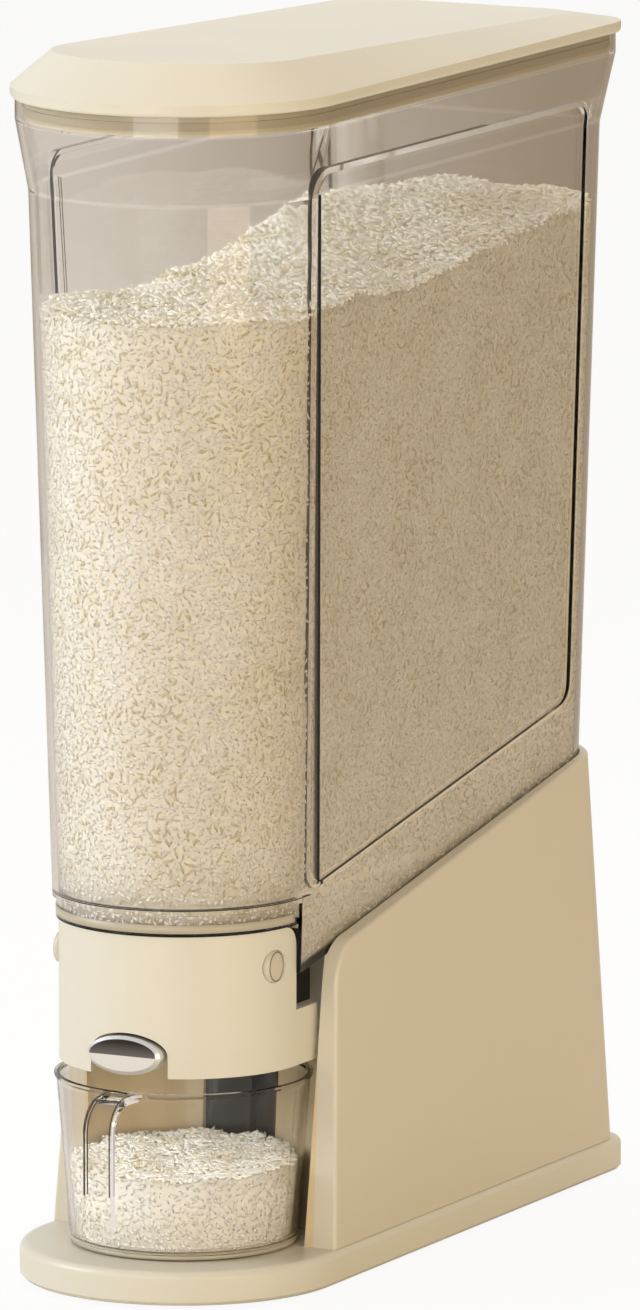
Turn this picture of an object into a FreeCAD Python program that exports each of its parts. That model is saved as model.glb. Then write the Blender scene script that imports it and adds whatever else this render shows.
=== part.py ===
"""Countertop rice dispenser: a clear hopper over a cup bay, on a hollow stand.

Axes: X is the width, Y runs from the front to the back, Z is up from the table.
Every sub-part is drawn about the nose axis, the vertical line at which the round
front of the lid, hopper, cover, cup and base plate is centred, and is then moved
so that the origin is the middle of the whole outline, on the table.
"""
import FreeCAD, Part
import math
import os

import Sketcher

# Driving dimensions in millimetres and degrees. Heights are above the table, and
# a "_y" is a distance behind the nose axis.
DIMENSIONS = {
    # base plate
    "plate_half_width": 62.7,
    "plate_back": 264,
    "plate_corner": 14,
    "plate_height": 13,
    "plate_edge": 3,
    "plate_skin": 3,
    "plate_rib": 2,
    "rib_pitch": 90,
    "foot_proud": 1.5,
    "foot_seat": 2.5,
    "foot_radius": 7,
    "foot_inset": 20,
    "foot_front_y": -18,
    # stand
    "stand_foot_half_width": 61,
    "stand_foot_back": 261,
    "stand_top_half_width": 54.2,
    "stand_top_back": 252.6,
    "stand_top_z": 175,
    "stand_corner": 18,
    "stand_wall": 2.8,
    "stand_front_y": 8,
    "stand_front_lean": 5.3,
    "stand_shoulder": 20,
    "stand_edge": 1.4,
    "rim_height": 5.6,
    "recess_radius": 48.2,
    "recess_lean": 2.9,
    "cavity_front_y": 24,
    "boss_radius": 5,
    "boss_height": 20,
    "boss_side": 54,
    "boss_front_y": 70,
    "boss_back_y": 236,
    "screw_radius": 2,
    "screw_head_radius": 3.8,
    "screw_head_height": 2.6,
    "screw_length": 18,
    # insert in the wall behind the cup
    "stop_half_width": 16,
    "stop_low_z": 26,
    "stop_high_z": 108,
    "stop_depth": 12,
    "stop_step": 1.2,
    "stop_rail": 3.5,
    "stop_window": 11.5,
    "stop_window_depth": 8,
    # hopper
    "floor_z": 121.4,
    "floor_slope": 10.2,
    "hopper_wall": 2.3,
    "waist_z": 152,
    "waist_half_width": 50,
    "waist_back": 250.5,
    "waist_corner": 15,
    "hopper_flare_height": 27,
    "shoulder_half_width": 58.2,
    "shoulder_back": 252,
    "hopper_rim_height": 8,
    "rim_corner": 17,
    "hopper_top_z": 454.5,
    "band_step": 1.5,
    "band_z": 151,
    "panel_depth": 1.5,
    "panel_rise": 30,
    "panel_front_y": 9,
    "panel_front_lean": 2.2,
    "panel_back_y": 229,
    "panel_top_drop": 26.5,
    "panel_corner": 9,
    # outlet of the hopper
    "outlet_half_width": 16,
    "outlet_length": 9,
    "outlet_back_y": -3,
    "neck_wall": 3,
    "neck_low_z": 108,
    "funnel_low_z": 118,
    "funnel_side": 25,
    "funnel_front": 27,
    "collar_low_z": 107,
    # cover
    "cover_radius": 47.5,
    "cover_wall": 2.2,
    "cover_low_z": 86,
    "cover_top_z": 140.5,
    "cover_step_z": 107.5,
    "cover_back": 1.5,
    "cover_tail_back": 19,
    "cover_corner": 8,
    "snap_radius": 6,
    "snap_y": -12.7,
    "snap_z": 126.5,
    "snap_proud": 0.6,
    # button and shutter
    "button_z": 94.5,
    "button_half_width": 15.5,
    "button_half_height": 7.5,
    "button_proud": 3,
    "button_depth": 8,
    "button_gap": 0.9,
    "button_travel": 10,
    "button_crown": 1.6,
    "stem_half_width": 9,
    "stem_thickness": 4,
    "stem_back_y": -27,
    "stem_web": 3,
    "gasket_height": 2,
    "shutter_thickness": 2.7,
    "shutter_half_width": 21,
    "shutter_back_y": 6,
    "frame_floor": 2.5,
    "frame_wall": 3,
    "frame_back_y": 29.5,
    "frame_cheek_x": 42,
    "ear_z": 110,
    "ear_thickness": 2.5,
    "ear_length": 9,
    "valve_screw_x": 29,
    "valve_screw_y": -8,
    "valve_screw_pitch": 22,
    "valve_screw_radius": 1.5,
    "valve_boss_radius": 4,
    "valve_screw_length": 10,
    "spring_z": 110,
    "spring_radius": 3.2,
    "spring_wire": 0.45,
    "spring_turns": 5,
    "guide_radius": 1.5,
    "pin_head_radius": 2.8,
    "pin_head_height": 1.2,
    "lug_half_width": 5,
    "lug_thickness": 3,
    "lug_height": 5,
    "chute_low_z": 88,
    "chute_wall": 2,
    "chute_flange": 2.5,
    "chute_flange_height": 2,
    # lid
    "lid_half_width": 65,
    "lid_back": 259,
    "lid_corner": 18,
    "lid_overhang": 1.8,
    "lid_rim": 4.5,
    "lid_edge": 1.8,
    "lid_bevel": 15.5,
    "lid_rise": 12.4,
    "lid_tilt": 2.1,
    "lid_wall": 2.4,
    "lid_ledge": 5.3,
    "lid_plate": 2.6,
    "skirt_drop": 8,
    "skirt_wall": 2,
    "seal_drop": 4,
    "seal_height": 3,
    "seal_depth": 1.2,
    # cup
    "cup_rim_radius": 49.4,
    "cup_base_radius": 43.6,
    "cup_height": 65.7,
    "cup_wall": 2,
    "cup_floor": 3.4,
    "cup_bead": 0.9,
    "cup_base_edge": 2.6,
    "handle_reach": 71,
    "handle_half_width": 6,
    "handle_thickness": 3.2,
    "handle_low_z": 26.5,
    "handle_bend": 13,
    "handle_flare": 4,
    # clearances
    "slide_gap": 0.3,
    "seat_gap": 0.3,
    "screw_gap": 0.15,
    "pin_gap": 0.05,
}

# Heights and places that follow from the dimensions.
PLATE_TOP = "(dims.foot_proud + dims.plate_height)"
FLOOR_TAN = "tan(dims.floor_slope * 1 deg)"
NOSE_AXIS_Y = "(dims.handle_reach - dims.plate_back) / 2"
GASKET_LOW = "(dims.neck_low_z - dims.gasket_height)"
SHUTTER_TOP = f"({GASKET_LOW} - dims.slide_gap)"
SHUTTER_LOW = f"({SHUTTER_TOP} - dims.shutter_thickness)"
FRAME_TOP = f"({SHUTTER_LOW} - dims.slide_gap)"
FRAME_LOW = f"({FRAME_TOP} - dims.frame_floor)"
OUTLET_FRONT_Y = "(dims.outlet_back_y - dims.outlet_length)"
BAND_RADIUS = "(dims.waist_half_width - dims.band_step)"
LEDGE_LOW = "(dims.cover_top_z + dims.seat_gap)"
LEDGE_TOP = f"({LEDGE_LOW} + dims.hopper_wall)"
HOUSING_BACK = "(dims.cover_back + dims.seat_gap)"
COLLAR_RADIUS = "(dims.cover_radius - dims.cover_wall - dims.seat_gap)"
FRAME_INNER_X = "(dims.shutter_half_width + dims.slide_gap)"
FRAME_OUTER_X = f"({FRAME_INNER_X} + dims.frame_wall)"
FRAME_FRONT_Y = f"({OUTLET_FRONT_Y} - dims.neck_wall)"
FRAME_WALL_Y = "(dims.frame_back_y - dims.frame_wall)"
RIM_Z = "(dims.hopper_top_z - dims.hopper_rim_height)"
SHOULDER_Z = f"({RIM_Z} - dims.hopper_flare_height)"
PANEL_TOP_Z = "(dims.hopper_top_z - dims.panel_top_drop)"
LID_BEVEL_Z = "(dims.hopper_top_z + dims.lid_rim)"
LID_PLATE_TOP = "(dims.hopper_top_z + dims.lid_plate + dims.seat_gap)"
RIM_HALF_WIDTH = "(dims.lid_half_width - dims.lid_overhang)"
RIM_BACK = "(dims.lid_back - dims.lid_overhang)"
SKIRT_HALF_WIDTH = f"({RIM_HALF_WIDTH} - dims.hopper_wall - 4 * dims.slide_gap)"
SKIRT_BACK = f"({RIM_BACK} - dims.hopper_wall - 4 * dims.slide_gap)"
SKIRT_CORNER = "(dims.rim_corner - dims.hopper_wall - 4 * dims.slide_gap)"
REACH = "400"

doc = FreeCAD.newDocument("rice_dispenser")
sheet = doc.addObject("Spreadsheet::Sheet", "dims")
for row, (alias, value) in enumerate(DIMENSIONS.items(), start=1):
    sheet.set(f"A{row}", alias)
    sheet.set(f"B{row}", str(value))
    sheet.setAlias(f"B{row}", alias)
doc.recompute()


def between(start, end, share):
    """The value a share of the way from start to end; it may lie outside them."""
    return f"({start} + ({end} - {start}) * {share})"


def floor_height(y, above="0"):
    """Height of the sloping hopper floor's underside at a distance y, plus a rise."""
    return f"dims.floor_z + {FLOOR_TAN} * ({y}) + ({above})"


# ---- sketch and feature helpers -------------------------------------------------


def new_body(name):
    return doc.addObject("PartDesign::Body", name)


def new_sketch(body, name, role="XY_Plane", offset="0", tilt=None):
    """A sketch on one of the body's own origin planes, moved along its normal."""
    sketch = body.newObject("Sketcher::SketchObject", name)
    plane = next(f for f in body.Origin.OriginFeatures if f.Role == role)
    sketch.AttachmentSupport = [(plane, "")]
    sketch.MapMode = "FlatFace"
    sketch.setExpression("AttachmentOffset.Base.z", offset)
    if tilt:
        sketch.AttachmentOffset = FreeCAD.Placement(
            FreeCAD.Vector(), FreeCAD.Rotation(FreeCAD.Vector(1, 0, 0), 1)
        )
        sketch.setExpression("AttachmentOffset.Rotation.Angle", tilt)
    return sketch


def number(sketch, expression):
    value = sketch.evalExpression(f"({expression}) * 1")
    return float(getattr(value, "Value", value))


def bind(sketch, kind, *target):
    """Add a dimension whose value is the last argument, an expression."""
    *where, expression = target
    index = sketch.addConstraint(Sketcher.Constraint(kind, *where, number(sketch, expression)))
    sketch.setExpression(f"Constraints[{index}]", expression)


def fix_point(sketch, curve, end, x, y):
    bind(sketch, "DistanceX", -1, 1, curve, end, x)
    bind(sketch, "DistanceY", -1, 1, curve, end, y)


def polygon(sketch, corners):
    """A closed outline of straight lines through (x, y) pairs of expressions."""
    points = [FreeCAD.Vector(number(sketch, x), number(sketch, y), 0) for x, y in corners]
    first = sketch.GeometryCount
    count = len(points)
    for i in range(count):
        sketch.addGeometry(Part.LineSegment(points[i], points[(i + 1) % count]), False)
    for i in range(count):
        here = first + i
        after = first + (i + 1) % count
        sketch.addConstraint(Sketcher.Constraint("Coincident", here, 2, after, 1))
    for i, (x, y) in enumerate(corners):
        fix_point(sketch, first + i, 1, x, y)
    return sketch


def rectangle(sketch, low_x, low_y, high_x, high_y):
    corners = [(low_x, low_y), (high_x, low_y), (high_x, high_y), (low_x, high_y)]
    return polygon(sketch, corners)


def circle(sketch, x, y, radius):
    centre = FreeCAD.Vector(number(sketch, x), number(sketch, y), 0)
    index = sketch.addGeometry(
        Part.Circle(centre, FreeCAD.Vector(0, 0, 1), number(sketch, radius)), False
    )
    fix_point(sketch, index, 3, x, y)
    bind(sketch, "Radius", index, radius)
    return sketch


def oval(sketch, half_width, half_height):
    """An ellipse about the button's centre, on a sketch seen from the front."""
    centre = FreeCAD.Vector(0, number(sketch, "dims.button_z"), 0)
    side = centre + FreeCAD.Vector(number(sketch, half_width), 0, 0)
    top = centre + FreeCAD.Vector(0, number(sketch, half_height), 0)
    curve = sketch.addGeometry(Part.Ellipse(side, top, centre), False)
    sketch.exposeInternalGeometry(curve)
    major, minor = curve + 1, curve + 2
    fix_point(sketch, curve, 3, "0", "dims.button_z")
    sketch.addConstraint(Sketcher.Constraint("Horizontal", major))
    bind(sketch, "Distance", major, f"2 * {half_width}")
    bind(sketch, "Distance", minor, f"2 * ({half_height})")
    return sketch


def nose_outline(sketch, half_width, back, corner):
    """Round front about the nose axis, straight sides, rounded rear corners."""
    wide = number(sketch, half_width)
    rear = number(sketch, back)
    turn = number(sketch, corner)
    vector = FreeCAD.Vector
    up = vector(0, 0, 1)
    right_centre = vector(wide - turn, rear - turn, 0)
    left_centre = vector(turn - wide, rear - turn, 0)
    quarter = math.pi / 2
    nose, right, right_turn, rear_line, left_turn, left = sketch.addGeometry(
        [
            Part.ArcOfCircle(Part.Circle(vector(), up, wide), 2 * quarter, 4 * quarter),
            Part.LineSegment(vector(wide, 0, 0), vector(wide, rear - turn, 0)),
            Part.ArcOfCircle(Part.Circle(right_centre, up, turn), 0, quarter),
            Part.LineSegment(vector(wide - turn, rear, 0), vector(turn - wide, rear, 0)),
            Part.ArcOfCircle(Part.Circle(left_centre, up, turn), quarter, 2 * quarter),
            Part.LineSegment(vector(-wide, rear - turn, 0), vector(-wide, 0, 0)),
        ],
        False,
    )
    rule = Sketcher.Constraint
    sketch.addConstraint(
        [
            rule("Coincident", nose, 3, -1, 1),
            rule("PointOnObject", nose, 1, -1),
            rule("PointOnObject", nose, 2, -1),
            rule("Coincident", nose, 2, right, 1),
            rule("Coincident", left, 2, nose, 1),
            rule("Vertical", right),
            rule("Vertical", left),
            rule("Horizontal", rear_line),
            rule("Tangent", right, 2, right_turn, 1),
            rule("Tangent", right_turn, 2, rear_line, 1),
            rule("Tangent", rear_line, 2, left_turn, 1),
            rule("Tangent", left_turn, 2, left, 1),
            rule("Equal", right_turn, left_turn),
        ]
    )
    bind(sketch, "Radius", nose, half_width)
    bind(sketch, "Radius", right_turn, corner)
    bind(sketch, "DistanceY", -1, 1, rear_line, 1, back)
    return sketch


def half_round(sketch, radius, back):
    """Round front about the nose axis, closed by a straight line behind it."""
    wide = number(sketch, radius)
    rear = number(sketch, back)
    vector = FreeCAD.Vector
    arc, right, rear_line, left = sketch.addGeometry(
        [
            Part.Arc(vector(-wide, 0, 0), vector(0, -wide, 0), vector(wide, 0, 0)),
            Part.LineSegment(vector(wide, 0, 0), vector(wide, rear, 0)),
            Part.LineSegment(vector(wide, rear, 0), vector(-wide, rear, 0)),
            Part.LineSegment(vector(-wide, rear, 0), vector(-wide, 0, 0)),
        ],
        False,
    )
    rule = Sketcher.Constraint
    sketch.addConstraint(
        [
            rule("Coincident", arc, 3, -1, 1),
            rule("PointOnObject", arc, 1, -1),
            rule("PointOnObject", arc, 2, -1),
            rule("Coincident", arc, 2, right, 1),
            rule("Coincident", right, 2, rear_line, 1),
            rule("Coincident", rear_line, 2, left, 1),
            rule("Coincident", left, 2, arc, 1),
            rule("Vertical", right),
            rule("Vertical", left),
            rule("Horizontal", rear_line),
        ]
    )
    bind(sketch, "Radius", arc, radius)
    bind(sketch, "DistanceY", -1, 1, rear_line, 1, back)
    return sketch


def extrude(body, kind, sketch, length, name, both=False, flip=False):
    """A Pad or Pocket of a sketch: along its normal, both ways, or backwards."""
    feature = body.newObject(f"PartDesign::{kind}", name)
    feature.Profile = sketch
    feature.setExpression("Length", length)
    feature.Midplane = both
    feature.Reversed = flip
    sketch.Visibility = False
    return feature


def pad(body, sketch, length, name, **how):
    return extrude(body, "Pad", sketch, length, name, **how)


def pocket(body, sketch, length, name, **how):
    return extrude(body, "Pocket", sketch, length, name, **how)


def revolve(body, sketch, name, turn=360, flip=False):
    """A Revolution of a sketch about its own vertical axis."""
    feature = body.newObject("PartDesign::Revolution", name)
    feature.Profile = sketch
    feature.ReferenceAxis = (sketch, ["V_Axis"])
    feature.Angle = turn
    feature.Reversed = flip
    return feature


def loft(body, sections, name):
    feature = body.newObject("PartDesign::AdditiveLoft", name)
    feature.Profile = sections[0]
    feature.Sections = sections[1:]
    feature.Ruled = True
    return feature


def dress(body, kind, size, name, picks):
    """Fillet or Chamfer on the edges of the body that picks() chooses."""
    doc.recompute()
    base = body.Tip
    edges = [f"Edge{i}" for i, e in enumerate(base.Shape.Edges, start=1) if picks(e)]
    if not edges:
        raise ValueError(f"{name} finds no edge on {body.Name}")
    feature = body.newObject(f"PartDesign::{kind}", name)
    feature.Base = (base, edges)
    feature.setExpression("Radius" if kind == "Fillet" else "Size", size)
    return feature


def combine(kind, name, first, *others):
    """A Part::Cut or Part::Common of two objects, or a fusion of several."""
    if kind == "Fuse":
        result = doc.addObject("Part::MultiFuse", name)
        result.Shapes = [first, *others]
        result.Refine = True
        return result
    result = doc.addObject(f"Part::{kind}", name)
    result.Base = first
    result.Tool = others[0]
    result.Refine = True
    return result


def value_of(expression):
    found = sheet.evalExpression(f"({expression}) * 1")
    return float(getattr(found, "Value", found))


def lies_at(z, tolerance=0.01):
    """Pick edges that lie level at a height."""
    height = value_of(z)

    def picks(edge):
        box = edge.BoundBox
        return abs(box.ZMin - height) < tolerance and abs(box.ZMax - height) < tolerance

    return picks


def along_x(edge):
    box = edge.BoundBox
    return box.YLength < 0.01 and box.ZLength < 0.01


def runs_across_at(y, z, tolerance=0.01):
    """Pick the edge that runs along X at a place on the side view."""
    across, height = value_of(y), value_of(z)

    def picks(edge):
        box = edge.BoundBox
        return along_x(edge) and abs(box.YMin - across) < tolerance and abs(box.ZMin - height) < tolerance

    return picks


def nose_section(body, name, z, half_width, back, corner, tilt=None):
    sketch = new_sketch(body, name, "XY_Plane", z, tilt)
    return nose_outline(sketch, half_width, back, corner)


def drafted_form(name, low, high, corner):
    """A tapering solid: flat sides and back, a cone for a front, round rear corners.

    low and high are (height, half width, back) at the two ends of the taper.
    """
    body = new_body(name)
    low_z, low_wide, low_back = low
    high_z, high_wide, high_back = high
    profile = polygon(
        new_sketch(body, f"{name}_profile", "XZ_Plane"),
        [("0", low_z), (low_wide, low_z), (high_wide, high_z), ("0", high_z)],
    )
    revolve(body, profile, f"{name}_nose", turn=180, flip=True)
    sides = body.newObject("PartDesign::AdditiveWedge", f"{name}_sides")
    sides.Placement.Rotation = FreeCAD.Rotation(FreeCAD.Vector(1, 0, 0), 90)
    for end, size in (
        ("Ymin", low_z),
        ("Ymax", high_z),
        ("Xmin", f"-({low_wide})"),
        ("Xmax", low_wide),
        ("X2min", f"-({high_wide})"),
        ("X2max", high_wide),
        ("Zmin", f"-({low_back})"),
        ("Zmax", "0"),
        ("Z2min", f"-({high_back})"),
        ("Z2max", "0"),
    ):
        sides.setExpression(end, size)
    rear = value_of(low_back) / 2
    dress(
        body,
        "Fillet",
        corner,
        f"{name}_corners",
        lambda edge: edge.BoundBox.ZLength > 1 and edge.BoundBox.YMin > rear,
    )
    return body


def block(name, low, high):
    """A plain box between two corners given as expressions."""
    box = doc.addObject("Part::Box", name)
    for axis, size, start, end in zip("xyz", ("Length", "Width", "Height"), low, high):
        box.setExpression(size, f"({end}) - ({start})")
        box.setExpression(f"Placement.Base.{axis}", start)
    return box


def rod(name, radius, x, y, z, height):
    """An upright cylinder that stands at (x, y, z)."""
    cylinder = doc.addObject("Part::Cylinder", name)
    cylinder.setExpression("Radius", radius)
    cylinder.setExpression("Height", height)
    cylinder.setExpression("Placement.Base.x", x)
    cylinder.setExpression("Placement.Base.y", y)
    cylinder.setExpression("Placement.Base.z", z)
    return cylinder


def lying_rod(name, radius, x, y, z, length, towards="y"):
    """A cylinder that lies along +Y or +X from (x, y, z)."""
    cylinder = rod(name, radius, x, y, z, length)
    turns = {"y": (FreeCAD.Vector(-1, 0, 0), 90), "x": (FreeCAD.Vector(0, 1, 0), 90)}
    cylinder.Placement.Rotation = FreeCAD.Rotation(*turns[towards])
    return cylinder


parts = []


def finish(feature, label):
    """Name a sub-part and move it from the nose axis to the part's origin."""
    feature.Label = label
    feature.setExpression("Placement.Base.y", NOSE_AXIS_Y)
    parts.append(feature)


# ---- base plate, feet and screws ------------------------------------------------


def foot_places():
    """The four rubber feet, as (name, x, y)."""
    front_x = "(dims.plate_half_width - dims.foot_inset)"
    back_y = "(dims.plate_back - dims.foot_inset)"
    for row, y in (("front", "dims.foot_front_y"), ("back", back_y)):
        for side, sign in (("left", "-"), ("right", "")):
            yield f"{row}_{side}", f"{sign}{front_x}", y


def screw_places():
    """The four base screws, as (name, x, y)."""
    for row in ("front", "back"):
        for side, sign in (("left", "-"), ("right", "")):
            yield f"{row}_{side}", f"{sign}dims.boss_side", f"dims.boss_{row}_y"


def make_base_plate():
    """A shallow tray, open below, with ribs, foot seats and screw bosses."""
    body = new_body("plate_tray")
    outline = ("dims.plate_half_width", "dims.plate_back", "dims.plate_corner")
    base = nose_section(body, "plate_outline", "dims.foot_proud", *outline)
    pad(body, base, "dims.plate_height", "plate_slab")
    dress(body, "Fillet", "dims.plate_edge", "plate_top_round", lies_at(PLATE_TOP))
    dress(body, "Chamfer", "dims.plate_edge / 2", "plate_low_edge", lies_at("dims.foot_proud"))
    inner = [f"{size} - dims.plate_skin" for size in outline]
    hollow = nose_section(body, "plate_hollow_outline", "dims.foot_proud", *inner)
    pocket(body, hollow, "dims.plate_height - dims.plate_skin", "plate_hollow", flip=True)

    low = "dims.foot_proud + dims.plate_edge / 2"
    top = f"{PLATE_TOP} - dims.plate_skin / 2"
    inner_x = "(dims.plate_half_width - dims.plate_skin / 2)"
    half_rib = "dims.plate_rib / 2"
    stiffeners = []
    for count in range(3):
        middle = f"(dims.rib_pitch * {count})"
        stiffeners.append(
            block(
                f"cross_rib_{count}",
                (f"-{inner_x}", f"{middle} - {half_rib}", low),
                (inner_x, f"{middle} + {half_rib}", top),
            )
        )
    bosses = []
    for name, x, y in foot_places():
        radius = "dims.foot_radius + dims.plate_skin"
        bosses.append(rod(f"foot_boss_{name}", radius, x, y, "dims.foot_proud", f"{top} - dims.foot_proud"))
    for name, x, y in screw_places():
        radius = "dims.boss_radius"
        bosses.append(rod(f"screw_boss_{name}", radius, x, y, "dims.foot_proud", f"{top} - dims.foot_proud"))
    solid = combine("Fuse", "plate_with_ribs", body, *stiffeners, *bosses)

    holes = []
    for name, x, y in foot_places():
        radius = "dims.foot_radius + dims.seat_gap / 2"
        holes.append(rod(f"foot_recess_{name}", radius, x, y, "0", "dims.foot_proud + dims.foot_seat"))
    for name, x, y in screw_places():
        head = "dims.screw_head_radius + dims.screw_gap"
        shank = "dims.screw_radius + dims.screw_gap"
        holes.append(rod(f"head_recess_{name}", head, x, y, "0", f"{PLATE_TOP} / 2"))
        holes.append(rod(f"plate_hole_{name}", shank, x, y, "0", f"{PLATE_TOP} + 1"))
    cutter = combine("Fuse", "plate_holes", *holes)
    finish(combine("Cut", "base_plate_cut", solid, cutter), "base_plate")


def make_rubber_feet():
    """Four round feet pressed into the seats of the base plate."""
    feet = [
        rod(f"foot_{name}", "dims.foot_radius", x, y, "0", "dims.foot_proud + dims.foot_seat")
        for name, x, y in foot_places()
    ]
    finish(combine("Fuse", "feet", *feet), "rubber_feet")


def make_base_screws():
    """Four pan-head screws from below, through the plate into the stand's bosses."""
    screws = []
    for name, x, y in screw_places():
        seat = f"{PLATE_TOP} / 2"
        screws.append(rod(f"screw_shank_{name}", "dims.screw_radius", x, y, seat, "dims.screw_length"))
        head_low = f"{seat} - dims.screw_head_height"
        screws.append(
            rod(f"screw_head_{name}", "dims.screw_head_radius", x, y, head_low, "dims.screw_head_height")
        )
    finish(combine("Fuse", "screws", *screws), "base_screws")


# ---- stand ----------------------------------------------------------------------


def stand_shell(name, inset):
    """The stand's tapering outline, drawn in by an inset."""
    ends = [
        (z, f"dims.stand_{level}_half_width - {inset}", f"dims.stand_{level}_back - {inset}")
        for level, z in (("foot", PLATE_TOP), ("top", "dims.stand_top_z"))
    ]
    return drafted_form(name, *ends, f"dims.stand_corner - {inset}")


def trim_side(body, name, corners):
    """Cut away everything inside an outline on the side view, right across."""
    sketch = polygon(new_sketch(body, f"{name}_outline", "YZ_Plane"), corners)
    return pocket(body, sketch, f"2 * {REACH}", name, both=True)


def recess_cone(name, grow):
    """The leaning round space in which the cup stands, made larger by grow."""
    body = new_body(name)
    top = f"(dims.stand_top_z + dims.rim_height)"
    widen = f"tan(dims.recess_lean * 1 deg) * ({top} - {PLATE_TOP})"
    foot = f"dims.recess_radius + {grow}"
    sketch = polygon(
        new_sketch(body, f"{name}_profile", "XZ_Plane"),
        [("0", PLATE_TOP), (foot, PLATE_TOP), (f"{foot} + {widen}", top), ("0", top)],
    )
    revolve(body, sketch, f"{name}_turn")
    return body


def hopper_draft(name, inset):
    """The hopper's drafted walls from the collar up to the rim, drawn in by an inset."""
    ends = []
    for z in ("dims.collar_low_z", RIM_Z):
        share = f"(({z} - dims.waist_z) / ({SHOULDER_Z} - dims.waist_z))"
        wide = between("dims.waist_half_width", "dims.shoulder_half_width", share)
        back = between("dims.waist_back", "dims.shoulder_back", share)
        ends.append((z, f"{wide} - {inset}", f"{back} - {inset}"))
    return drafted_form(name, *ends, f"dims.waist_corner - {inset}")


def hopper_flare(name, inset, top):
    """The flared and then upright top of the hopper, drawn in by an inset.

    It starts inside the drafted walls and comes out of them at the shoulder.
    """
    body = new_body(name)
    sections = []
    for level, share in (("root", "-0.2"), ("rim", "1")):
        sections.append(
            nose_section(
                body,
                f"{name}_{level}",
                between(SHOULDER_Z, RIM_Z, share),
                f"{between('dims.shoulder_half_width', RIM_HALF_WIDTH, share)} - {inset}",
                f"{between('dims.shoulder_back', RIM_BACK, share)} - {inset}",
                f"{between('dims.waist_corner', 'dims.rim_corner', share)} - {inset}",
            )
        )
    rim = (f"{RIM_HALF_WIDTH} - {inset}", f"{RIM_BACK} - {inset}", f"dims.rim_corner - {inset}")
    sections.append(nose_section(body, f"{name}_top", top, *rim))
    loft(body, sections, f"{name}_loft")
    return body


def make_stand():
    """A hollow shell with a sloping deck, a rim round the hopper and a cup bay."""
    outer = stand_shell("stand_outer", "0")
    lean = "tan(dims.stand_front_lean * 1 deg)"
    corner_z = f"({floor_height('dims.stand_front_y', 'dims.rim_height')})"
    front_top_y = f"(dims.stand_front_y + {lean} * ({corner_z} - {PLATE_TOP}))"
    rim_back_z = floor_height(REACH, "dims.rim_height")
    trim_side(
        outer,
        "stand_trim",
        [
            ("dims.stand_front_y", PLATE_TOP),
            (front_top_y, corner_z),
            (REACH, rim_back_z),
            (REACH, f"2 * {REACH}"),
            (f"-{REACH}", f"2 * {REACH}"),
            (f"-{REACH}", "0"),
            ("dims.stand_front_y", "0"),
        ],
    )
    front_y = value_of(front_top_y)
    dress(
        outer,
        "Fillet",
        "dims.stand_shoulder",
        "stand_shoulder_round",
        lambda edge: along_x(edge) and abs(edge.BoundBox.YMin - front_y) < 0.1,
    )
    rim_edges = value_of(floor_height("dims.stand_front_y", "0"))
    dress(
        outer,
        "Fillet",
        "dims.stand_edge",
        "stand_edge_round",
        lambda edge: edge.BoundBox.ZMin > rim_edges - value_of("dims.stand_shoulder") and not along_x(edge)
        and edge.BoundBox.ZMax - edge.BoundBox.ZMin < 0.5 * edge.BoundBox.YLength + 0.5,
    )

    inner = stand_shell("stand_inner", "dims.stand_wall")
    deck = "-dims.seat_gap - dims.stand_wall"
    trim_side(
        inner,
        "stand_inner_trim",
        [
            ("dims.cavity_front_y", "0"),
            ("dims.cavity_front_y", floor_height("dims.cavity_front_y", deck)),
            (REACH, floor_height(REACH, deck)),
            (REACH, f"2 * {REACH}"),
            (f"-{REACH}", f"2 * {REACH}"),
            (f"-{REACH}", "0"),
        ],
    )
    bay_wall = recess_cone("recess_wall", "dims.stand_wall")
    cavity = combine("Cut", "stand_cavity", inner, bay_wall)

    well = hopper_draft("hopper_well", "-1.5 * dims.slide_gap")
    trim_side(
        well,
        "well_trim",
        [
            (f"-{REACH}", "0"),
            (f"-{REACH}", floor_height(f"-{REACH}", "-dims.seat_gap")),
            (REACH, floor_height(REACH, "-dims.seat_gap")),
            (REACH, "0"),
        ],
    )
    window = block(
        "stop_opening",
        ("-dims.stop_half_width - dims.seat_gap", "0", "dims.stop_low_z - dims.seat_gap"),
        (
            "dims.stop_half_width + dims.seat_gap",
            "dims.recess_radius + 2 * dims.stop_depth",
            "dims.stop_high_z + dims.seat_gap",
        ),
    )
    removed = combine("Fuse", "stand_spaces", cavity, recess_cone("recess", "0"), well, window)
    shell = combine("Cut", "stand_shell_cut", outer, removed)

    bosses = [
        rod(f"stand_boss_{name}", "dims.boss_radius", x, y, PLATE_TOP, "dims.boss_height")
        for name, x, y in screw_places()
    ]
    with_bosses = combine("Fuse", "stand_with_bosses", shell, *bosses)
    pilots = [
        rod(f"pilot_{name}", "dims.screw_radius + dims.screw_gap", x, y, PLATE_TOP, "dims.screw_length")
        for name, x, y in screw_places()
    ]
    cutter = combine("Fuse", "stand_pilots", *pilots)
    finish(combine("Cut", "stand_cut", with_bosses, cutter), "stand_housing")


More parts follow.
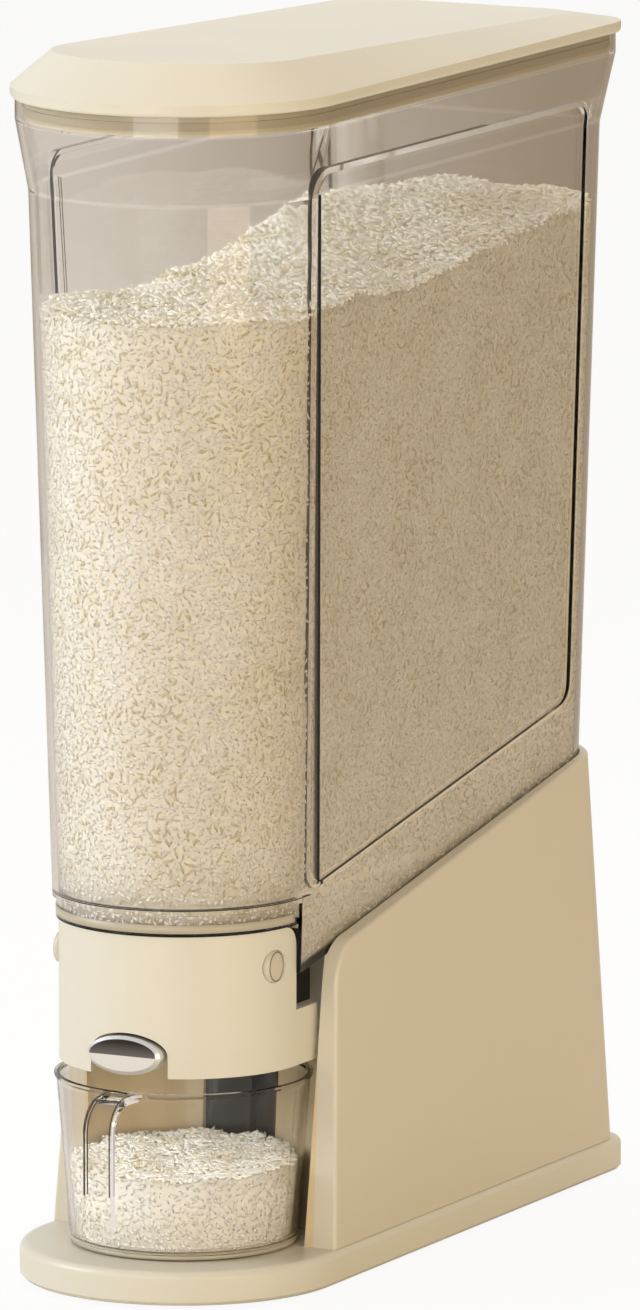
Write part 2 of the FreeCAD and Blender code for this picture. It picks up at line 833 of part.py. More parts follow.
def make_cup_backstop():
    """Dark insert in the bay's back wall: a raised face beside a deep window."""
    front = "dims.recess_radius"
    body = block(
        "stop_block",
        ("-dims.stop_half_width", "dims.recess_radius - dims.stop_depth", "dims.stop_low_z"),
        ("dims.stop_half_width", "dims.recess_radius + dims.stop_depth", "dims.stop_high_z"),
    )
    face = recess_cone("stop_face", "0")
    rail_edge = "-dims.stop_half_width + dims.stop_rail"
    rail = block(
        "stop_rail_cut",
        (rail_edge + " - 2 * dims.stop_rail", "0", "0"),
        (rail_edge, f"{front} + dims.stop_step", REACH),
    )
    window_right = "dims.stop_half_width - dims.stop_step"
    window = block(
        "stop_window_cut",
        (f"{window_right} - dims.stop_window", "0", "dims.stop_low_z + dims.stop_step"),
        (window_right, f"{front} + dims.stop_window_depth", "dims.stop_high_z - dims.stop_step"),
    )
    cutter = combine("Fuse", "stop_cutter", face, rail, window)
    finish(combine("Cut", "stop_cut", body, cutter), "cup_backstop")


# ---- hopper ---------------------------------------------------------------------


def panel_prism(name, margin):
    """The recessed side panel's outline, drawn right through the hopper."""
    body = new_body(name)
    lean = "tan(dims.panel_front_lean * 1 deg)"
    front_low_z = floor_height("dims.panel_front_y", f"dims.panel_rise - {margin}")
    front_high_y = f"dims.panel_front_y - {lean} * ({PANEL_TOP_Z} - dims.waist_z) - {margin}"
    back_y = f"(dims.panel_back_y + {margin})"
    sketch = polygon(
        new_sketch(body, f"{name}_outline", "YZ_Plane"),
        [
            (f"dims.panel_front_y - {margin}", front_low_z),
            (back_y, floor_height(back_y, f"dims.panel_rise - {margin}")),
            (back_y, f"{PANEL_TOP_Z} + {margin}"),
            (front_high_y, f"{PANEL_TOP_Z} + {margin}"),
        ],
    )
    pad(body, sketch, REACH, f"{name}_pad", both=True)
    dress(body, "Fillet", "dims.panel_corner", f"{name}_corners", along_x)
    return body


def funnel(name, grow):
    """The outlet's funnel and straight neck, made larger all round by grow."""
    body = new_body(name)
    neck = (
        f"-dims.outlet_half_width - {grow}",
        f"{OUTLET_FRONT_Y} - {grow}",
        f"dims.outlet_half_width + {grow}",
        f"dims.outlet_back_y + {grow}",
    )
    mouth = (
        f"{neck[0]} - dims.funnel_side",
        f"{neck[1]} - dims.funnel_front",
        f"{neck[2]} + dims.funnel_side",
        neck[3],
    )
    low = rectangle(new_sketch(body, f"{name}_low", offset="dims.funnel_low_z"), *neck)
    high = rectangle(new_sketch(body, f"{name}_high", offset=LEDGE_TOP), *mouth)
    loft(body, [low, high], f"{name}_sides")
    throat = rectangle(new_sketch(body, f"{name}_neck", offset="dims.funnel_low_z"), *neck)
    pad(body, throat, "dims.funnel_low_z - dims.neck_low_z", f"{name}_tube", flip=True)
    return body


def valve_screw_places():
    """The four valve screws, as (name, x, y)."""
    back_row = "(dims.valve_screw_y + dims.valve_screw_pitch)"
    for row, y in (("front", "dims.valve_screw_y"), ("back", back_row)):
        for side, sign in (("left", "-"), ("right", "")):
            yield f"{row}_{side}", f"{sign}dims.valve_screw_x", y


def band_cutter(name, inset):
    """What lies outside the narrower band round the nose, drawn in by an inset."""
    body = new_body(name)
    low = f"{LEDGE_LOW} - 1"
    back = f"({HOUSING_BACK} + {inset})"
    height = f"dims.band_z + {inset} - {low}"
    around = rectangle(new_sketch(body, f"{name}_around", offset=low), f"-{REACH}", f"-{REACH}", REACH, back)
    pad(body, around, height, f"{name}_block")
    core = half_round(new_sketch(body, f"{name}_core", offset=low), f"{BAND_RADIUS} - {inset}", back)
    pocket(body, core, height, f"{name}_hole", flip=True)
    return body


def hopper_walls():
    """The bin's outer form: drafted walls, band, flared rim and sunk side panels."""
    walls = hopper_draft("hopper_walls", "0")
    trim_side(
        walls,
        "floor_trim",
        [
            (f"-{REACH}", "0"),
            (f"-{REACH}", LEDGE_LOW),
            (HOUSING_BACK, LEDGE_LOW),
            (HOUSING_BACK, floor_height(HOUSING_BACK)),
            (REACH, floor_height(REACH)),
            (REACH, "0"),
        ],
    )
    form = combine("Fuse", "hopper_form", walls, hopper_flare("hopper_rim", "0", "dims.hopper_top_z"))
    face = hopper_draft("panel_face", "dims.panel_depth")
    sides = combine("Cut", "panel_cutter", panel_prism("panel", "0"), face)
    cutters = combine("Fuse", "wall_cutters", sides, band_cutter("band", "0"))
    return combine("Cut", "walls_with_panels", form, cutters)


def hopper_cavity():
    """The space for rice: above the ledge and the sloping floor, and down the throat."""
    wall = "dims.hopper_wall"
    step_y = f"({HOUSING_BACK} + {wall})"
    inside = hopper_draft("hopper_inside", wall)
    trim_side(
        inside,
        "inside_floor",
        [
            (f"-{REACH}", "0"),
            (f"-{REACH}", LEDGE_TOP),
            (step_y, LEDGE_TOP),
            (step_y, floor_height(step_y, wall)),
            (REACH, floor_height(REACH, wall)),
            (REACH, "0"),
        ],
    )
    rim = hopper_flare("inside_rim", wall, "dims.hopper_top_z + 1")
    form = combine("Fuse", "inside_form", inside, rim)
    face = hopper_draft("inner_panel_face", f"(dims.panel_depth + {wall})")
    sides = combine("Cut", "inner_panel_cutter", panel_prism("inner_panel", wall), face)
    cutters = combine("Fuse", "cavity_cutters", sides, band_cutter("inner_band", wall))
    upper = combine("Cut", "upper_cavity", form, cutters)

    throat = new_body("throat")
    throat_back = f"({step_y} + 1)"
    profile = polygon(
        new_sketch(throat, "throat_profile", "YZ_Plane"),
        [
            ("dims.outlet_back_y", floor_height("dims.outlet_back_y", wall)),
            (throat_back, floor_height(throat_back, wall)),
            (throat_back, f"{LEDGE_TOP} + 1"),
            ("dims.outlet_back_y", f"{LEDGE_TOP} + 1"),
        ],
    )
    pad(throat, profile, "2 * (dims.outlet_half_width + dims.funnel_side)", "throat_channel", both=True)
    bore = collar_form("collar_bore", wall, "0", f"({LEDGE_TOP} + 1)")
    chute = combine("Common", "funnel_in_collar", funnel("funnel_inside", "0"), bore)
    return combine("Fuse", "rice_space", upper, throat, chute)


def collar_form(name, inset, low, high):
    """The collar's outline as a solid block between two heights, drawn in by an inset."""
    body = new_body(name)
    back = f"({HOUSING_BACK} + {inset})"
    outline = half_round(new_sketch(body, f"{name}_outline", offset=low), f"{COLLAR_RADIUS} - {inset}", back)
    pad(body, outline, f"{high} - {low}", f"{name}_block")
    return body


def valve_bay():
    """The room for the valve inside the collar, under the ledge and the sloping floor."""
    bay = collar_form("valve_bay", "dims.hopper_wall", "0", LEDGE_LOW)
    wall_y = "(dims.outlet_back_y - dims.hopper_wall)"
    trim_side(
        bay,
        "bay_roof",
        [
            (wall_y, floor_height("dims.outlet_back_y")),
            ("dims.outlet_back_y", floor_height("dims.outlet_back_y")),
            (REACH, floor_height(REACH)),
            (REACH, REACH),
            (wall_y, REACH),
        ],
    )
    return combine("Cut", "valve_room", bay, funnel("funnel_outside", "dims.neck_wall"))


def make_hopper():
    """Clear drafted bin with a flared rim, and the clear housing that closes its nose.

    Both are cut from one form: the housing is the part in front of and below the bin, with
    the ledge, the collar for the cover, the funnel, the outlet's neck and the pegs.
    """
    collar = collar_form("collar", "0", "dims.collar_low_z", LEDGE_TOP)
    reach = "(dims.cover_radius + dims.snap_proud - 2)"
    pegs = lying_rod(
        "snap_pegs", "dims.snap_radius", f"-{reach}", "dims.snap_y", "dims.snap_z", f"2 * {reach}", "x"
    )
    bosses = [
        rod(f"valve_boss_{name}", "dims.valve_boss_radius", x, y, "dims.ear_z", f"{LEDGE_TOP} - dims.ear_z")
        for name, x, y in valve_screw_places()
    ]
    pilots = [
        rod(f"valve_pilot_{name}", "dims.valve_screw_radius + dims.screw_gap", x, y, "dims.ear_z",
            "dims.valve_screw_length")
        for name, x, y in valve_screw_places()
    ]
    solid = combine("Fuse", "hopper_solid", hopper_walls(), collar, pegs)
    opened = combine("Cut", "hopper_open_below", solid, valve_bay())
    with_bosses = combine("Fuse", "hopper_with_bosses", opened, *bosses)
    spaces = combine("Fuse", "hopper_spaces", hopper_cavity(), *pilots)
    whole = combine("Cut", "hopper_whole", with_bosses, spaces)
    below = block("outlet_side", (f"-{REACH}", f"-{REACH}", "0"), (REACH, HOUSING_BACK, LEDGE_TOP))
    finish(combine("Cut", "hopper_cut", whole, below), "hopper")
    finish(combine("Common", "outlet_common", whole, below), "outlet_housing")


# ---- valve cover ----------------------------------------------------------------


def make_valve_cover():
    """Half-round shell with a stepped tail, peg holes and an arched button notch."""
    body = new_body("cover")
    height = "dims.cover_top_z - dims.cover_low_z"
    outline = half_round(
        new_sketch(body, "cover_outline", offset="dims.cover_low_z"),
        "dims.cover_radius",
        "dims.cover_tail_back",
    )
    pad(body, outline, height, "cover_block")
    step = polygon(
        new_sketch(body, "cover_step_outline", "YZ_Plane"),
        [
            ("dims.cover_back", "dims.cover_step_z"),
            (REACH, "dims.cover_step_z"),
            (REACH, REACH),
            ("dims.cover_back", REACH),
        ],
    )
    pocket(body, step, f"2 * {REACH}", "cover_step", both=True)
    back = value_of("dims.cover_back")
    top = value_of("dims.cover_top_z")
    dress(
        body,
        "Fillet",
        "dims.cover_corner",
        "cover_corner_round",
        lambda edge: along_x(edge)
        and abs(edge.BoundBox.YMin - back) < 0.01
        and abs(edge.BoundBox.ZMin - top) < 0.01,
    )
    hollow = half_round(
        new_sketch(body, "cover_hollow_outline", offset="dims.cover_low_z"),
        "dims.cover_radius - dims.cover_wall",
        "dims.cover_tail_back + 1",
    )
    pocket(body, hollow, height, "cover_hollow", flip=True)
    holes = circle(
        new_sketch(body, "peg_hole_outline", "YZ_Plane"),
        "dims.snap_y",
        "dims.snap_z",
        "dims.snap_radius + dims.seat_gap",
    )
    pocket(body, holes, f"2 * {REACH}", "peg_holes", both=True)

    wide = "(dims.button_half_width + dims.button_gap)"
    arch = oval(new_sketch(body, "notch_arch", "XZ_Plane"), wide, "dims.button_half_height + dims.button_gap")
    pocket(body, arch, REACH, "notch_top", flip=True)
    sides = rectangle(new_sketch(body, "notch_outline", "XZ_Plane"), f"-{wide}", "0", wide, "dims.button_z")
    pocket(body, sides, REACH, "notch_sides", flip=True)
    finish(body, "valve_cover")


# ---- valve: gasket, frame, shutter, button, spring, chute -------------------------


def make_outlet_gasket():
    """Soft ring under the hopper's neck."""
    body = new_body("gasket")
    outer = (
        "-dims.outlet_half_width - dims.neck_wall",
        f"{OUTLET_FRONT_Y} - dims.neck_wall",
        "dims.outlet_half_width + dims.neck_wall",
        "dims.outlet_back_y + dims.neck_wall",
    )
    inner = ("-dims.outlet_half_width", OUTLET_FRONT_Y, "dims.outlet_half_width", "dims.outlet_back_y")
    sketch = rectangle(new_sketch(body, "gasket_outline", offset=GASKET_LOW), *outer)
    rectangle(sketch, *inner)
    pad(body, sketch, "dims.gasket_height", "gasket_ring")
    finish(body, "outlet_gasket")


def make_valve_frame():
    """Channel for the shutter, with ears to the hopper and cheeks under its floor."""
    solids = [
        block(
            "frame_channel",
            (f"-{FRAME_OUTER_X}", FRAME_FRONT_Y, FRAME_LOW),
            (FRAME_OUTER_X, "dims.frame_back_y", "dims.ear_z"),
        ),
        block(
            "frame_rear_wall",
            ("-dims.lug_half_width - dims.frame_wall", FRAME_WALL_Y, FRAME_LOW),
            ("dims.lug_half_width + dims.frame_wall", "dims.frame_back_y", "dims.spring_z + dims.lug_height"),
        ),
    ]
    for name, x, y in valve_screw_places():
        reach = "dims.valve_screw_x + dims.ear_length / 2"
        if name.startswith("back"):
            reach = "dims.frame_cheek_x"
        low_x, high_x = (f"-({reach})", "0") if name.endswith("left") else ("0", reach)
        solids.append(
            block(
                f"frame_ear_{name}",
                (low_x, f"{y} - dims.ear_length / 2", "dims.ear_z - dims.ear_thickness"),
                (high_x, f"{y} + dims.ear_length / 2", "dims.ear_z"),
            )
        )
    cheeks = new_body("frame_cheeks")
    first_y = "(dims.cover_back - dims.cover_wall)"
    last_y = "(dims.frame_back_y - dims.frame_wall * 2)"
    low = "dims.ear_z - dims.ear_thickness"
    side = polygon(
        new_sketch(cheeks, "cheek_outline", "YZ_Plane"),
        [
            (first_y, low),
            (last_y, low),
            (last_y, floor_height(last_y, "-dims.seat_gap")),
            (first_y, floor_height(first_y, "-dims.seat_gap")),
        ],
    )
    pad(cheeks, side, "2 * dims.frame_cheek_x", "cheek_block", both=True)
    between = block(
        "cheek_gap",
        ("-dims.frame_cheek_x + dims.frame_wall", f"-{REACH}", "0"),
        ("dims.frame_cheek_x - dims.frame_wall", REACH, REACH),
    )
    solids.append(combine("Cut", "cheek_plates", cheeks, between))
    solid = combine("Fuse", "frame_solid", *solids)
    channel = block(
        "frame_channel_cut",
        (f"-{FRAME_INNER_X}", f"-{REACH}", FRAME_TOP),
        (FRAME_INNER_X, FRAME_WALL_Y, "dims.spring_z + 2 * dims.lug_height"),
    )
    window = block(
        "frame_window_cut",
        ("-dims.outlet_half_width", OUTLET_FRONT_Y, "0"),
        ("dims.outlet_half_width", "dims.outlet_back_y", REACH),
    )
    pin_hole = lying_rod(
        "pin_hole", "dims.guide_radius + dims.pin_gap", "0", "dims.frame_wall", "dims.spring_z", REACH
    )
    holes = [channel, window, pin_hole]
    for name, x, y in valve_screw_places():
        holes.append(rod(f"ear_hole_{name}", "dims.valve_screw_radius + dims.screw_gap", x, y, "0", REACH))
    opened = combine("Cut", "frame_opened", solid, combine("Fuse", "frame_cuts", *holes))
    finish(opened, "valve_frame")


def make_guide_pin():
    """Headed pin through the frame's rear wall, which carries spring and lug."""
    front_y = "(dims.shutter_back_y - dims.lug_thickness - dims.seat_gap)"
    pin = lying_rod(
        "pin_shank", "dims.guide_radius", "0", front_y, "dims.spring_z", f"dims.frame_back_y - {front_y}"
    )
    head = lying_rod(
        "pin_head", "dims.pin_head_radius", "0", "dims.frame_back_y", "dims.spring_z", "dims.pin_head_height"
    )
    finish(combine("Fuse", "pin", pin, head), "guide_pin")


def make_valve_screws():
    """Four small screws that hold the frame to the hopper's bosses."""
    screws = []
    seat = "dims.ear_z - dims.ear_thickness"
    for name, x, y in valve_screw_places():
        screws.append(
            rod(f"valve_shank_{name}", "dims.valve_screw_radius", x, y, seat, "dims.valve_screw_length")
        )
        head = "2 * dims.valve_screw_radius"
        screws.append(rod(f"valve_head_{name}", head, x, y, f"{seat} - {head} / 2", f"{head} / 2"))
    finish(combine("Fuse", "valve_screw_set", *screws), "valve_screws")


def make_shutter():
    """Sliding plate with one window, a spring lug behind and a hanging web in front."""
    front_y = "(dims.stem_back_y - dims.stem_web)"
    window_back = f"(dims.outlet_back_y - dims.button_travel)"
    plate = block(
        "shutter_blank",
        ("-dims.shutter_half_width", front_y, SHUTTER_LOW),
        ("dims.shutter_half_width", "dims.shutter_back_y", SHUTTER_TOP),
    )
    lug = block(
        "spring_lug",
        ("-dims.lug_half_width", "dims.shutter_back_y - dims.lug_thickness", SHUTTER_LOW),
        ("dims.lug_half_width", "dims.shutter_back_y", "dims.spring_z + dims.lug_height"),
    )
    solid = combine("Fuse", "shutter_solid", plate, lug)
    window = block(
        "shutter_window",
        ("-dims.outlet_half_width", f"{window_back} - dims.outlet_length", "0"),
        ("dims.outlet_half_width", window_back, REACH),
    )
    hole = lying_rod(
        "guide_hole", "dims.guide_radius + 2 * dims.slide_gap", "0", "0", "dims.spring_z", REACH
    )
    cutter = combine("Fuse", "shutter_cuts", window, hole)
    finish(combine("Cut", "shutter_cut", solid, cutter), "shutter_plate")


def button_front_y():
    return "(-dims.cover_radius - dims.button_proud)"


def make_button_stem():
    """Push rod from the back of the button to the web under the shutter."""
    back = f"({button_front_y()} + dims.button_depth)"
    rod_bar = block(
        "stem_bar",
        ("-dims.stem_half_width", back, "dims.button_z - dims.stem_thickness / 2"),
        ("dims.stem_half_width", "dims.stem_back_y", "dims.button_z + dims.stem_thickness / 2"),
    )
    web_low = "dims.button_z - dims.stem_thickness / 2"
    web = block(
        "stem_web_block",
        ("-dims.stem_half_width", "dims.stem_back_y - dims.stem_web", web_low),
        ("dims.stem_half_width", "dims.stem_back_y", SHUTTER_LOW),
    )
    finish(combine("Fuse", "stem", rod_bar, web), "button_stem")


def make_button_cap():
    """Oval push button with a crowned, creased front."""
    body = new_body("button_oval")
    sketch = new_sketch(body, "button_outline", "XZ_Plane", f"-{button_front_y()}")
    oval(sketch, "dims.button_half_width", "dims.button_half_height")
    pad(body, sketch, "dims.button_depth", "button_block", flip=True)
    front = value_of(button_front_y())
    dress(
        body,
        "Chamfer",
        "dims.button_crown",
        "button_rim",
        lambda edge: abs(edge.BoundBox.YMin - front) < 0.01 and abs(edge.BoundBox.YMax - front) < 0.01,
    )
    finish(body, "button_cap")


def make_return_spring():
    """Coil of six-sided wire between the shutter's lug and the frame's rear wall."""
    body = new_body("spring")
    start = "(dims.shutter_back_y + dims.seat_gap + dims.spring_wire)"
    end = f"({FRAME_WALL_Y} - dims.seat_gap - dims.spring_wire)"
    corners = [
        (
            f"{start} + dims.spring_wire * cos({60 * side} * 1 deg)",
            f"dims.spring_radius + dims.spring_wire * sin({60 * side} * 1 deg)",
        )
        for side in range(6)
    ]
    sketch = polygon(new_sketch(body, "spring_wire_outline", "YZ_Plane"), corners)
    coil = body.newObject("PartDesign::AdditiveHelix", "spring_coil")
    coil.Profile = sketch
    coil.ReferenceAxis = (sketch, ["H_Axis"])
    coil.Mode = "height-turns-angle"
    coil.setExpression("Height", f"{end} - {start}")
    coil.setExpression("Turns", "dims.spring_turns")
    finish(body, "return_spring")
    body.setExpression("Placement.Base.z", "dims.spring_z")


def make_outlet_chute():
    """Short rectangular spout with a flange under the frame."""
    body = new_body("chute")
    wall = "dims.chute_wall"
    inner = ("-dims.outlet_half_width", OUTLET_FRONT_Y, "dims.outlet_half_width", "dims.outlet_back_y")
    outer = (f"{inner[0]} - {wall}", f"{inner[1]} - {wall}", f"{inner[2]} + {wall}", f"{inner[3]} + {wall}")
    flange = (outer[0], outer[1], outer[2], f"{outer[3]} + dims.chute_flange")
    tube = rectangle(new_sketch(body, "chute_tube_outline", offset="dims.chute_low_z"), *outer)
    pad(body, tube, f"{FRAME_LOW} - dims.chute_low_z", "chute_tube")
    plate = rectangle(new_sketch(body, "chute_flange_outline", offset=FRAME_LOW), *flange)
    pad(body, plate, "dims.chute_flange_height", "chute_flange_plate", flip=True)
    way = rectangle(new_sketch(body, "chute_way_outline", offset="dims.chute_low_z"), *inner)
    pocket(body, way, f"{FRAME_LOW} - dims.chute_low_z", "chute_way", flip=True)
    finish(body, "outlet_chute")


# ---- lid ------------------------------------------------------------------------


def make_lid():
    """Hollow cap: upright rim, broad sloping shoulder, flat top that falls to the back."""
    body = new_body("lid_body")
    outline = ("dims.lid_half_width", "dims.lid_back", "dims.lid_corner")
    base = nose_section(body, "lid_rim_outline", "dims.hopper_top_z", *outline)
    pad(body, base, "dims.lid_rim", "lid_rim_block")
    foot = nose_section(body, "lid_shoulder_foot", LID_BEVEL_Z, *outline)
    top = [f"{size} - dims.lid_bevel" for size in outline[:2]]
    crown_z = f"{LID_BEVEL_Z} + dims.lid_rise"
    crown = nose_section(
        body, "lid_top_outline", crown_z, *top, "dims.lid_corner", tilt="-dims.lid_tilt"
    )
    loft(body, [foot, crown], "lid_shoulder")
    dress(body, "Fillet", "dims.lid_edge", "lid_low_round", lies_at("dims.hopper_top_z"))

    room = new_body("lid_room")
    seat = nose_section(
        room,
        "lid_seat_outline",
        "dims.hopper_top_z",
        *[f"{size} - dims.lid_ledge" for size in outline],
    )
    pad(room, seat, f"{LID_PLATE_TOP} - dims.hopper_top_z", "lid_seat")
    low = nose_section(
        room, "lid_room_low", LID_PLATE_TOP, *[f"{size} - dims.lid_ledge - dims.lid_wall" for size in outline]
    )
    high = nose_section(
        room,
        "lid_room_high",
        f"{LID_BEVEL_Z} + dims.lid_rise - dims.lid_wall",
        *[f"{size} - dims.lid_wall" for size in top],
        "dims.lid_corner - dims.lid_wall",
        tilt="-dims.lid_tilt",
    )
    loft(room, [low, high], "lid_room_loft")
    finish(combine("Cut", "lid_cut", body, room), "lid_shell")


def make_lid_insert():
    """Plate that closes the lid from below, with a skirt that enters the hopper."""
    body = new_body("insert")
    plate = nose_section(
        body,
        "insert_plate_outline",
        "dims.hopper_top_z + dims.seat_gap",
        "dims.lid_half_width - dims.lid_ledge - dims.seat_gap",
        "dims.lid_back - dims.lid_ledge - dims.seat_gap",
        "dims.lid_corner - dims.lid_ledge - dims.seat_gap",
    )
    pad(body, plate, "dims.lid_plate", "insert_plate")
    size = (SKIRT_HALF_WIDTH, SKIRT_BACK, SKIRT_CORNER)
    skirt = nose_section(body, "skirt_outline", "dims.hopper_top_z + dims.seat_gap", *size)
    pad(body, skirt, "dims.skirt_drop", "skirt_block", flip=True)
    inner = [f"{length} - dims.skirt_wall" for length in size]
    low = "dims.hopper_top_z + dims.seat_gap - dims.skirt_drop"
    hollow = nose_section(body, "skirt_hollow_outline", low, *inner)
    pocket(body, hollow, "dims.skirt_drop", "skirt_hollow", flip=True)
    groove = seal_ring("seal_groove", "0")
    finish(combine("Cut", "insert_cut", body, groove), "lid_insert")


def seal_ring(name, inset):
    """A ring round the skirt at the seal's height, smaller outside by an inset."""
    body = new_body(name)
    reach = f"(3 * dims.slide_gap - {inset})"
    z = "dims.hopper_top_z - dims.seal_drop - dims.seal_height / 2"
    size = (SKIRT_HALF_WIDTH, SKIRT_BACK, SKIRT_CORNER)
    outer = nose_section(body, f"{name}_outline", z, *[f"{length} + {reach}" for length in size])
    pad(body, outer, "dims.seal_height", f"{name}_block")
    inner = nose_section(body, f"{name}_hole", z, *[f"{length} - dims.seal_depth" for length in size])
    pocket(body, inner, "dims.seal_height", f"{name}_bore", flip=True)
    return body


def make_lid_seal():
    """Soft ring in the skirt's groove, just short of the hopper's wall."""
    finish(seal_ring("seal", "0"), "lid_seal")


# ---- measuring cup --------------------------------------------------------------


def make_measuring_cup():
    """Tapered clear cup with a beaded rim and a J-shaped strap handle in front."""
    body = new_body("cup")
    top = f"({PLATE_TOP} + dims.cup_height)"
    floor_top = f"({PLATE_TOP} + dims.cup_floor)"
    inner_rim = "dims.cup_rim_radius - dims.cup_wall"
    inner_base = "dims.cup_base_radius - dims.cup_wall"
    profile = polygon(
        new_sketch(body, "cup_profile", "XZ_Plane"),
        [
            ("0", PLATE_TOP),
            ("dims.cup_base_radius - dims.cup_base_edge", PLATE_TOP),
            ("dims.cup_base_radius", f"{PLATE_TOP} + dims.cup_base_edge"),
            (f"dims.cup_rim_radius - dims.cup_bead", f"{top} - 2 * dims.cup_bead"),
            ("dims.cup_rim_radius", top + " - dims.cup_bead"),
            ("dims.cup_rim_radius", top),
            (inner_rim, top),
            (inner_base, f"{floor_top} + dims.cup_base_edge / 2"),
            (f"{inner_base} - dims.cup_base_edge / 2", floor_top),
            ("0", floor_top),
        ],
    )
    revolve(body, profile, "cup_turn")

    strap = new_body("handle")
    front = "(-dims.handle_reach)"
    root = "(-dims.cup_rim_radius + dims.cup_wall / 2)"
    inside_y = f"({front} + dims.handle_thickness)"
    inside_z = f"({top} - dims.handle_thickness)"
    side = polygon(
        new_sketch(strap, "handle_profile", "YZ_Plane"),
        [
            (root, top),
            (front, top),
            (front, "dims.handle_low_z"),
            (inside_y, "dims.handle_low_z"),
            (inside_y, inside_z),
            (root, inside_z),
        ],
    )
    pad(strap, side, "2 * dims.handle_half_width", "handle_strip", both=True)
    for name, radius, y, z in (
        ("handle_bend", "dims.handle_bend", front, top),
        ("handle_inner_bend", "dims.handle_bend - dims.handle_thickness", inside_y, inside_z),
    ):
        dress(strap, "Fillet", radius, name, runs_across_at(y, z))
    wing = "(dims.handle_half_width + dims.handle_flare)"
    flare = polygon(
        new_sketch(strap, "handle_flare_outline", offset=top),
        [
            (f"-{wing}", "-dims.cup_rim_radius + dims.handle_flare / 2"),
            ("-dims.handle_half_width", "-dims.cup_rim_radius - dims.handle_flare"),
            ("dims.handle_half_width", "-dims.cup_rim_radius - dims.handle_flare"),
            (wing, "-dims.cup_rim_radius + dims.handle_flare / 2"),
        ],
    )
    pad(strap, flare, "dims.handle_thickness / 2", "handle_flare", flip=True)
    low_end = value_of("dims.handle_low_z")
    dress(
        strap,
        "Fillet",
        "dims.handle_half_width * 0.95",
        "handle_tip",
        lambda edge: edge.BoundBox.ZLength < 0.01 and edge.BoundBox.XLength < 0.01
        and abs(edge.BoundBox.ZMin - low_end) < 0.01,
    )
    finish(combine("Fuse", "cup_with_handle", body, strap), "measuring_cup")


# ---- build, check and write -------------------------------------------------------


def check_and_export():
    doc.recompute()
    for feature in doc.Objects:
        if "Invalid" in feature.State or "Error" in feature.State:
            raise RuntimeError(f"{feature.Name} did not rebuild: {feature.State}")
    os.makedirs("parts", exist_ok=True)
    for feature in parts:
        shape = feature.Shape
        if shape.isNull() or not shape.isValid() or not shape.Solids:
            raise RuntimeError(f"{feature.Label} has no valid solid")
        shape.exportStep(f"parts/{feature.Label}.step")
        box = shape.BoundBox
        print(
            f"{feature.Label}: {len(shape.Solids)} solids, {shape.Volume / 1000:.1f} cm3, "
            f"x {box.XMin:.1f}..{box.XMax:.1f}, y {box.YMin:.1f}..{box.YMax:.1f}, "
            f"z {box.ZMin:.1f}..{box.ZMax:.1f}"
        )


make_base_plate()
make_rubber_feet()
make_base_screws()
make_stand()
make_cup_backstop()
make_hopper()
make_valve_cover()
make_outlet_gasket()
make_valve_frame()
make_valve_screws()
make_shutter()
make_button_stem()
make_button_cap()
make_guide_pin()
make_return_spring()
make_outlet_chute()
make_lid()
make_lid_insert()
make_lid_seal()
make_measuring_cup()
check_and_export()
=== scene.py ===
# %% [markdown]
# # A rice dispenser, filled and lit
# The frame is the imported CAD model: a slim clear hopper on a hollow cream stand, with a cup
# bay under its nose. This lesson dresses it. It gives every moulded piece its plastic, fills
# the hopper and the cup with rice, and lights the whole like a catalogue picture.
#
# All lengths are in metres. X is the width, Y runs from the front to the back, Z is up.

import math

import bpy
import numpy as np
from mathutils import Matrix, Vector


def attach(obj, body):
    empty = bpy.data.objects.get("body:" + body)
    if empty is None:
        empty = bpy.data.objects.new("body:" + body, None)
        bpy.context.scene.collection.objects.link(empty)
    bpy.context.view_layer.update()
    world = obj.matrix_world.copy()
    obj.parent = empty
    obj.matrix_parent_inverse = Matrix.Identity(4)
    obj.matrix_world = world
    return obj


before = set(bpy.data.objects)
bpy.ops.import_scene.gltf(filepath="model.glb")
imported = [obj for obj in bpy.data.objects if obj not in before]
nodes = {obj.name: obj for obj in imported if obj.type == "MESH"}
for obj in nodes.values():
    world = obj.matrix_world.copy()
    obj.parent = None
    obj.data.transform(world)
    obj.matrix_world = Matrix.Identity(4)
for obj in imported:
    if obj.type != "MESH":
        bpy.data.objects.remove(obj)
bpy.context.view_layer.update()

# %% [markdown]
# ## Sizes of the hopper
# A moulded bin narrows downwards so that it leaves its tool, and its side panels are sunk a
# little. The rice has to follow those walls closely, or a bright gap shows between rice and
# plastic. The sizes could be read off the mesh, but the walls are plain enough to be written
# once as lengths that change with height, and every later step asks them.

# %% Hopper sizes, taper and floor
MM = 0.001
NOSE_Y = -96.5 * MM
WALL = 2.3 * MM
WAIST_Z, SHOULDER_Z = 152 * MM, 419.5 * MM
WAIST_HALF_WIDTH, SHOULDER_HALF_WIDTH = 50 * MM, 58.2 * MM
WAIST_BACK, SHOULDER_BACK = 250.5 * MM, 252 * MM
CORNER = 15 * MM
PANEL_DEPTH = 1.5 * MM
PANEL_FRONT, PANEL_BACK = 9 * MM, 229 * MM
PANEL_LEAN = math.tan(math.radians(2.2))
PANEL_RISE = 30 * MM
FLOOR_Z = 121.4 * MM
FLOOR_SLOPE = math.tan(math.radians(10.2))
LEDGE_Z, LEDGE_BACK = 143.1 * MM, 4.1 * MM
BAND_Z, BAND_RADIUS = 151 * MM, 48.5 * MM


def taper(low, high, z):
    """A length that changes evenly from the waist to the shoulder."""
    return low + (high - low) * (z - WAIST_Z) / (SHOULDER_Z - WAIST_Z)


def floor_z(y):
    """Top of the hopper's floor at a row y: a slope behind, and a level ledge in the nose."""
    behind = y - NOSE_Y
    return np.where(behind > LEDGE_BACK, FLOOR_Z + WALL + FLOOR_SLOPE * behind, LEDGE_Z)


